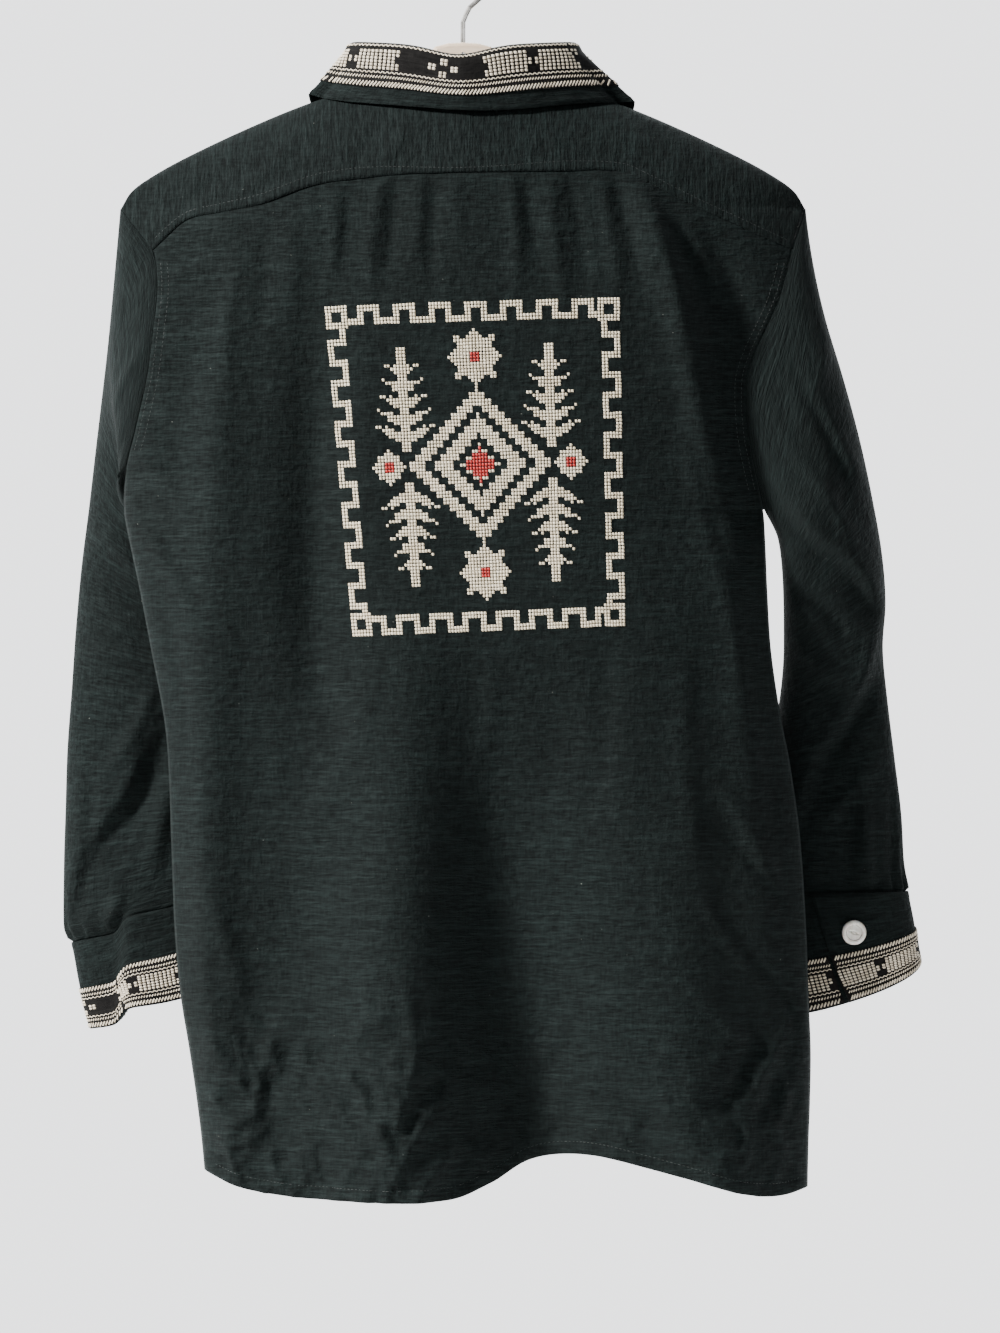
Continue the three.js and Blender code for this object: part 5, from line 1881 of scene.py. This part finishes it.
class Buttons:
    """Shell buttons with a fish-eye hollow and two holes, sewn on with dark thread."""

    radius = 7.6
    thick = 2.9
    rim = 1.2
    rim_round = 1.1
    dish = 0.75
    eye = (4.4, 1.7)
    eye_depth = 0.6
    hole_at = 1.7
    hole_radius = 1.0
    hole_depth = 1.1
    thread_height = 1.62

    def __init__(self, finishes: Finishes) -> None:
        """Keep the materials."""
        self.finishes = finishes

    def face_height(self, x: Array, y: Array) -> Array:
        """Height of the button's face.

        Args:
            x: Places across.
            y: Places down.

        Returns:
            Heights above its back.
        """
        far = np.hypot(x, y)
        edge = np.clip((self.radius - far) / self.rim_round, 0, 1)
        height = self.rim + (self.thick - self.rim) * np.sqrt(1 - (1 - edge) ** 2)
        height = height - self.dish * ease((self.radius - 1.4 - far) / 0.7)
        within = 1 - (x / self.eye[0]) ** 2 - (y / self.eye[1]) ** 2
        height = height - self.eye_depth * ease(within / 0.5)
        for hole in (-self.hole_at, self.hole_at):
            height = height - self.hole_depth * ease((self.hole_radius - np.hypot(x - hole, y)) / 0.35)
        return height

    def build(self) -> None:
        """Make every button at its CAD place."""
        places = [f"front_button_{k}" for k in range(1, 7)] + ["cuff_button_left", "cuff_button_right"]
        for node in places:
            self.one(node)

    def one(self, node: str) -> None:
        """Make one button.

        Args:
            node: The CAD button that it stands for.
        """
        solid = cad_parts[node]
        spots = np.array([vert.co[:] for vert in solid.data.vertices]) / MM
        middle = (spots.max(axis=0) + spots.min(axis=0)) / 2
        _, _, axes = np.linalg.svd(spots - spots.mean(axis=0))
        away = axes[2]
        if abs(away[1]) > 0.2 and (away[1] > 0) != node.startswith("front"):
            away = -away
        across = unit(np.cross(away, np.array([0.35, 0.0, 1.0])))
        up = np.cross(across, away)
        disc = bmesh.new()
        rim = bmesh.ops.create_circle(disc, cap_ends=False, segments=56, radius=self.radius)["verts"]
        edges = list({edge for vert in rim for edge in vert.link_edges})
        for share in np.linspace(0.97, 0.06, 22):
            ring = bmesh.ops.extrude_edge_only(disc, edges=edges)["geom"]
            verts = [item for item in ring if isinstance(item, bmesh.types.BMVert)]
            edges = [item for item in ring if isinstance(item, bmesh.types.BMEdge)]
            now = math.hypot(*verts[0].co[:2])
            bmesh.ops.scale(disc, verts=verts, vec=(share * self.radius / now,) * 3)
        bmesh.ops.contextual_create(disc, geom=edges)
        bmesh.ops.recalc_face_normals(disc, faces=disc.faces)
        mesh = bpy.data.meshes.new(node + "_shell")
        disc.to_mesh(mesh)
        disc.free()
        co = np.array([vert.co[:] for vert in mesh.vertices])
        top = self.face_height(co[:, 0], co[:, 1])
        start = middle - away * self.thick / 2
        world = start + co[:, :1] * across + co[:, 1:2] * up + top[:, None] * away
        mesh.vertices.foreach_set("co", (world * MM).ravel())
        mesh.update()
        piece = shown(node + "_shell", mesh, self.finishes.shell)
        body = piece.modifiers.new("body", "SOLIDIFY")
        body.thickness, body.offset = 0.9 * MM, -1
        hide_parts(node)
        self.sew(node, start, across, up, away)

    def sew(self, node: str, start: Array, across: Array, up: Array, away: Array) -> None:
        """Sew a button on through its two holes.

        Args:
            node: The CAD button.
            start: Middle of its back.
            across: Direction from hole to hole.
            up: Direction across the holes.
            away: Direction of its face.
        """
        work = StitchWork(node + "_thread", 3)
        rows = np.array([-0.34, 0.02, 0.36])
        at = start + rows[:, None] * up + self.thread_height * away
        lines = Frames(at, np.tile(across, (3, 1)), np.tile(up, (3, 1)), np.tile(away, (3, 1)))
        work.add(lines, 2.0, 0.26, 0.3)
        work.build(self.finishes.seam, "button")


@dataclass(frozen=True)
class Sheet:
    """One cut of cloth: its flat size in metres, what it rests on, and its area where not the whole."""

    flat: tuple[float, float]
    rests_on: str
    area: float | None = None


class Shirt:
    """The whole shirt: panels, trims, embroidery, buttons and seams."""

    def __init__(self, finishes: Finishes) -> None:
        """Prepare the forms.

        Args:
            finishes: The materials.
        """
        self.finishes = finishes
        self.form = ShirtForm()
        self.pieces: dict[str, bpy.types.Object] = {}

    def build(self) -> None:
        """Make every piece."""
        self.build_body()
        for side in Side:
            self.build_sleeve(side)
        self.build_collar()
        self.build_trims()
        self.build_seams()
        self.embroidery = Embroidery(self.form).build(self.finishes)
        Buttons(self.finishes).build()

    def panel(self, panel: Panel, material: Material | None = None, slot: str = "cloth") -> None:
        """Build a panel and keep it."""
        self.pieces[panel.node] = panel.build(material or self.finishes.cloth, slot)

    def build_body(self) -> None:
        """Back, yoke, fronts and front band."""
        form = self.form

        def upright(u: Array, v: Array, points: Array) -> Array:
            """Weave that runs across the shirt."""
            return points[:, [0, 2]] * MM

        def crosswise(u: Array, v: Array, points: Array) -> Array:
            """Weave that runs down the shirt."""
            return points[:, [2, 0]] * MM

        def in_neck(u: Array, v: Array) -> Array:
            """Which places of the yoke lie in the neck opening."""
            return (v < YOKE_TOP) & (np.abs(SHOULDER_HALF * spread(u)) < NECK_HALF)

        def back_rows(u: Array, v: Array) -> Array:
            """The back, with its rows closer at the hem."""
            return form.back(u, v + 0.11 * np.sin(math.pi * v))

        self.panel(Panel("back_panel", "back", 180, 262, back_rows, upright))
        self.panel(Panel("yoke_panel", "yoke", 180, 70, form.yoke, crosswise, leave_out=in_neck))
        for side in Side:
            name = "front_" + side.name.lower()
            place = partial(form.front, side)
            self.panel(Panel(name + "_panel", name, 56, 120, place, upright, inside_out=side is Side.RIGHT))

        def on_band(u: Array, v: Array) -> Array:
            """The button band, sewn flat near its edges."""
            drop = mix(NECK_FRONT + 4, FRONT_HEM, v)
            x = BAND_WIDTH / 2 - FRONT_EDGE - 3 + (0.5 - u) * BAND_WIDTH
            points = form.body.on(Face.FRONT, x, drop)
            sewn = 0.35 * bell(np.minimum(u, 1 - u) * BAND_WIDTH - 4, 1.2)
            points[..., 1] += 1.75 - sewn + 0.35 * value_noise(x / 9, drop / 26, 61.0)
            return points

        self.panel(Panel("front_band_strip", "front_band", 14, 150, on_band, upright, thick=1.0))

    def build_sleeve(self, side: Side) -> None:
        """One sleeve and its cuff.

        Args:
            side: Which sleeve.
        """
        form, name = self.form, side.name.lower()

        def tube(u: Array, v: Array) -> Array:
            """The sleeve, tucked under its cuff at the end."""
            t = v * (CUFF_ROW + 0.04)
            tucked = 1.1 * ease((v - 0.994) / 0.006)
            return form.sleeve(side, t, u) - form.ring_normal(side, t, u) * tucked[..., None]

        def wrapped(u: Array, v: Array) -> Array:
            """The cuff, a little puffed between its seams."""
            t = mix(CUFF_ROW + 0.006, CUFF_END, v)
            puff = 0.35 * np.sin(math.pi * v) + 0.3 * bell(v - 0.06, 0.05)
            return form.cuff(side, t, u * (1 + CUFF_LAP), MADE_UP / 2 + puff)

        flip = side is Side.RIGHT
        sleeve, cuff = "sleeve_" + name, "cuff_" + name
        sleeve_cut, cuff_cut = strip_cut(0.31, 0.47), strip_cut(0.30, 0.065, 0.5)
        self.panel(
            Panel(sleeve + "_tube", sleeve, 132, 170, tube, sleeve_cut, inside_out=flip, ring=True)
        )
        self.panel(
            Panel(cuff + "_band", cuff, 150, 18, wrapped, cuff_cut, thick=1.5, inside_out=not flip)
        )

    def build_collar(self) -> None:
        """Collar stand and turned-down collar."""
        form = self.form
        end = math.radians(180 + STAND_LAP)
        fall_end = math.radians(COLLAR_END)
        cut = strip_cut(0.5, 0.045, 0.7)

        def stand(u: Array, v: Array) -> Array:
            """The collar stand from end to end."""
            return form.stand((2 * u - 1) * end, 1 - v)

        def fall(u: Array, v: Array) -> Array:
            """The turned-down collar from end to end."""
            return form.fall((2 * u - 1) * fall_end, v**0.8)

        self.panel(Panel("collar_stand_band", "collar_stand", 150, 10, stand, cut, thick=1.4))
        self.panel(Panel("collar_fall", "collar", 220, 44, fall, cut, thick=1.4))

    def collar_ribbon(self) -> Ribboned:
        """Surface of the collar's trim by millimetres.

        Returns:
            The surface, and where the trim begins and ends.
        """
        fall = self.form.fall
        angles = np.radians(np.linspace(-COLLAR_END, COLLAR_END, 361))
        middle = fall(angles, np.full_like(angles, 0.5))
        steps = np.diff(middle, axis=0)
        facing = ease((96 - np.abs(middle[1:, 0])) / 30) * (np.cos(angles[1:]) > 0)
        real = np.linalg.norm(steps, axis=1)
        length = np.concatenate([[0], np.cumsum(real + (np.abs(steps[:, 0]) - real) * facing)])
        length -= length[180]

        def place(along: Array, across: Array) -> Array:
            """A place of the trim in millimetres along and across."""
            start = np.interp(along, length, angles)
            angle = start
            v = 0.74 * (1 - (TRIM_WIDTH - across) / 34.0)
            here, kept = np.clip(v, ROLL_END, 0.8), np.clip(v, 0, 1)
            centre = np.full_like(here, 0.5)
            for _ in range(2):
                run = fall(angle + 0.01, centre) - fall(angle - 0.01, centre)
                off = np.sum((fall(angle, here) - fall(start, centre)) * unit(run), axis=-1)
                rate = np.linalg.norm(run, axis=-1) / 0.02
                angle = angle - off / rate * ease((1.62 - np.abs(angle)) / 0.45)
            down = fall(angle, np.clip(v + 0.004, 0, 1)) - fall(angle, np.clip(v - 0.004, 0, 1))
            over = fall(angle + 0.004, kept) - fall(angle - 0.004, kept)
            return fall(angle, kept) + unit(np.cross(down, over)) * TRIM_LIFT

        return place, length[0] + 1, length[-1] - 1

    def cuff_ribbon(self, side: Side) -> Ribboned:
        """Surface of a cuff's trim by millimetres.

        Args:
            side: Which cuff.

        Returns:
            The surface, and where the trim begins and ends.
        """
        turns = np.linspace(0, 0.994, 241)
        line = self.form.cuff(side, np.full_like(turns, 15.4), turns, np.full_like(turns, MADE_UP / 2))
        length = np.concatenate([[0], np.cumsum(np.linalg.norm(np.diff(line, axis=0), axis=1))])
        first = mix(CUFF_ROW, CUFF_END, TRIM_TOP + (0.05 if side is Side.RIGHT else 0.0))

        def place(along: Array, across: Array) -> Array:
            """A place of the trim in millimetres along and across."""
            g = np.interp(along, length, turns)
            t = mix(first, CUFF_END - 0.02, across / TRIM_WIDTH)
            share = (t - CUFF_ROW) / (CUFF_END - CUFF_ROW)
            puff = 0.35 * np.sin(math.pi * np.clip(share, 0, 1))
            return self.form.cuff(side, t, g, MADE_UP / 2 + puff + TRIM_LIFT)

        return place, 0.0, float(length[-1])

    def build_trims(self) -> None:
        """Black ground and cream stitches of the three trims."""
        column = WovenBand.column_pitch
        collar, right, left = self.collar_ribbon(), self.cuff_ribbon(Side.RIGHT), self.cuff_ribbon(Side.LEFT)
        self.trim("collar_trim", collar, 6.6, ((collar[2], -14.0),), -1, (230, 16))
        phases = ((200.0, -10.9 * column), (right[2], right[2] - 1.5 - 21.25 * column))
        self.trim("cuff_trim_right", right, 0.0, phases, -1, (130, 12), 0.8)
        phases = ((166.0, 91.2), (left[2], 198.0))
        self.trim("cuff_trim_left", left, 0.0, phases, 1, (130, 12), 0.76)

    def trim(
        self, node: str, ribbon: Ribboned, top: float, phases: Sequence[tuple[float, float]], sign: int,
        cells: tuple[int, int], squeeze: float = 1.0,
    ) -> None:
        """One trim.

        Args:
            node: The CAD trim that it stands for.
            ribbon: Its surface by millimetres, and where it begins and ends.
            top: First visible millimetre across.
            phases: Ends of its lengths, each with the place of a flower's middle.
            sign: Side of the surface that faces out.
            cells: Cells of the ground along it and across it.
            squeeze: Its real width against the woven one.
        """
        place, start, end = ribbon

        def ground(u: Array, v: Array) -> Array:
            """The black ground of the trim."""
            return place(mix(start, end, u), mix(top, TRIM_WIDTH, v))

        def cut(u: Array, v: Array, points: Array) -> Array:
            """The ground's cut, in metres along and across."""
            return np.stack([mix(start, end, u) * MM, -mix(top, TRIM_WIDTH, v) * MM], axis=-1)

        self.panel(
            Panel(node + "_ground", node, *cells, ground, cut, thick=0.4, inside_out=sign > 0),
            self.finishes.ground,
            "woven_trim",
        )
        work = StitchWork(node + "_stitches", 5)
        begin = start
        for stop, phase in phases:
            Ribbon(place, begin, stop, top, phase, sign, squeeze).stitch(work)
            begin = stop
        self.pieces[node + "_stitches"] = work.build(self.finishes.trim, "woven_trim")

    def build_seams(self) -> None:
        """Topstitching along the yoke, the armholes and the hem."""
        form = self.form
        work = StitchWork("seam_topstitching", 9)
        yoke = Patch(form.yoke, 0.002, 0.002, -1)
        u = np.linspace(0.02, 0.98, 500)
        runs = [yoke.run(u, np.full_like(u, 0.965), 3.0)]
        back = Patch(form.on_back, 0.6, 0.6, -1)
        x = np.linspace(-168, 228, 500)
        runs.append(back.run(x, form.body.hem.read("drop", x) - 8.5, 3.0))
        for side in Side:
            drop = np.linspace(212.0, ARMHOLES[side].under - 12, 240)
            edge = form.body.edge(side, drop)
            for inset in (3.0, 7.5):
                runs.append(back.run(edge - side.value * inset, drop, 3.0))
        for run in runs:
            work.add(run, 1.1, 0.2, 0.2)
        self.pieces["seams"] = work.build(self.finishes.seam, "cloth")


class Hanger:
    """The CAD hanger, hook and pin with their finishes."""

    def __init__(self, finishes: Finishes) -> None:
        """Keep the materials."""
        self.finishes = finishes

    def dress(self) -> None:
        """Give the wood its varnish and the metal its plating."""
        for node, material in (
            ("hanger", self.finishes.wood),
            ("hook", self.finishes.steel),
            ("hook_pin", self.finishes.steel),
        ):
            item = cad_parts[node]
            item.data.materials.clear()
            item.data.materials.append(material)


@dataclass(frozen=True)
class Lamp:
    """One soft studio lamp."""

    name: str
    at: tuple[float, float, float]
    size: float
    watts: float
    colour: tuple[float, float, float] = (1.0, 1.0, 1.0)


class Studio:
    """Camera, lamps and a plain pale floor."""

    distance = 5.0
    picture_height = 0.9064
    middle = (0.02516, -0.48606)
    floor_drop = 1.06
    floor_radius = 1.15
    aim = (0.0, 0.0, -0.45)
    lamps = (
        Lamp("key_lamp", (-3.0, -1.75, 1.5), 0.6, 620.0, (1.0, 0.98, 0.95)),
        Lamp("fill_lamp", (1.2, -3.6, 0.4), 2.4, 34.0),
        Lamp("rim_lamp", (0.6, 2.4, 1.2), 1.6, 18.0),
    )

    def build(self) -> None:
        """Set up the view."""
        self.place_camera()
        for lamp in self.lamps:
            self.hang(lamp)
        self.lay_floor()
        self.light_room()

    def place_camera(self) -> None:
        """A level camera that looks at the back of the shirt."""
        data = bpy.data.cameras.new("camera")
        data.sensor_width = 36.0
        data.lens = 36.0 * self.distance / self.picture_height
        data.clip_end = 60.0
        camera = bpy.data.objects.new("camera", data)
        camera.location = (self.middle[0], -self.distance, self.middle[1])
        camera.rotation_euler = (math.radians(90), 0, 0)
        bpy.context.scene.collection.objects.link(camera)
        bpy.context.scene.camera = camera

    def hang(self, lamp: Lamp) -> None:
        """Hang a lamp that points at the shirt.

        Args:
            lamp: The lamp.
        """
        data = bpy.data.lights.new(lamp.name, "AREA")
        data.shape = "DISK"
        data.size, data.energy, data.color = lamp.size, lamp.watts, lamp.colour
        made = bpy.data.objects.new(lamp.name, data)
        made.location = lamp.at
        ray = Vector(self.aim) - Vector(lamp.at)
        made.rotation_euler = ray.to_track_quat("-Z", "Y").to_euler()
        bpy.context.scene.collection.objects.link(made)

    def lay_floor(self) -> None:
        """A round pale floor below the hanging shirt."""
        disc = bmesh.new()
        bmesh.ops.create_circle(disc, cap_ends=True, segments=96, radius=self.floor_radius)
        bmesh.ops.translate(disc, verts=disc.verts, vec=(0, 0, -self.floor_drop))
        mesh = bpy.data.meshes.new("studio_floor")
        disc.to_mesh(mesh)
        disc.free()
        sketch = NodeSketch("pale_floor")
        place = sketch.node("ShaderNodeTexCoord").outputs["Object"]
        cloud = sketch.noise(place, (0.7, 0.7, 0.7), 3.0)
        colour = sketch.blend(cloud, (0.86, 0.86, 0.85), (0.92, 0.92, 0.91))
        mesh.materials.append(sketch.shade(Base_Color=colour, Roughness=0.9))
        floor = bpy.data.objects.new("studio_floor", mesh)
        bpy.context.scene.collection.objects.link(floor)

    def light_room(self) -> None:
        """Pale light, bright past the shirt and dim behind the camera."""
        world = bpy.data.worlds.new("pale_room")
        world.use_nodes = True
        nodes, links = world.node_tree.nodes, world.node_tree.links
        place = nodes.new("ShaderNodeTexCoord")
        parts = nodes.new("ShaderNodeSeparateXYZ")
        behind = nodes.new("ShaderNodeMapRange")
        for name, value in (("From Min", -0.35), ("From Max", 0.55), ("To Min", 0.13), ("To Max", 2.6)):
            behind.inputs[name].default_value = value
        links.new(place.outputs["Generated"], parts.inputs[0])
        links.new(parts.outputs["Y"], behind.inputs["Value"])
        links.new(behind.outputs[0], nodes["Background"].inputs["Strength"])
        nodes["Background"].inputs["Color"].default_value = (0.97, 0.98, 1.0, 1.0)
        bpy.context.scene.world = world


def main() -> None:
    """Dress the frame."""
    logging.basicConfig(level=logging.INFO, format="%(message)s")
    finishes = Finishes()
    shirt = Shirt(finishes)
    shirt.build()
    for piece in shirt.pieces.values():
        log.info("%s: %d vertices", piece.name, len(piece.data.vertices))
    Hanger(finishes).dress()
    Studio().build()


if __name__ == "__main__":
    main()
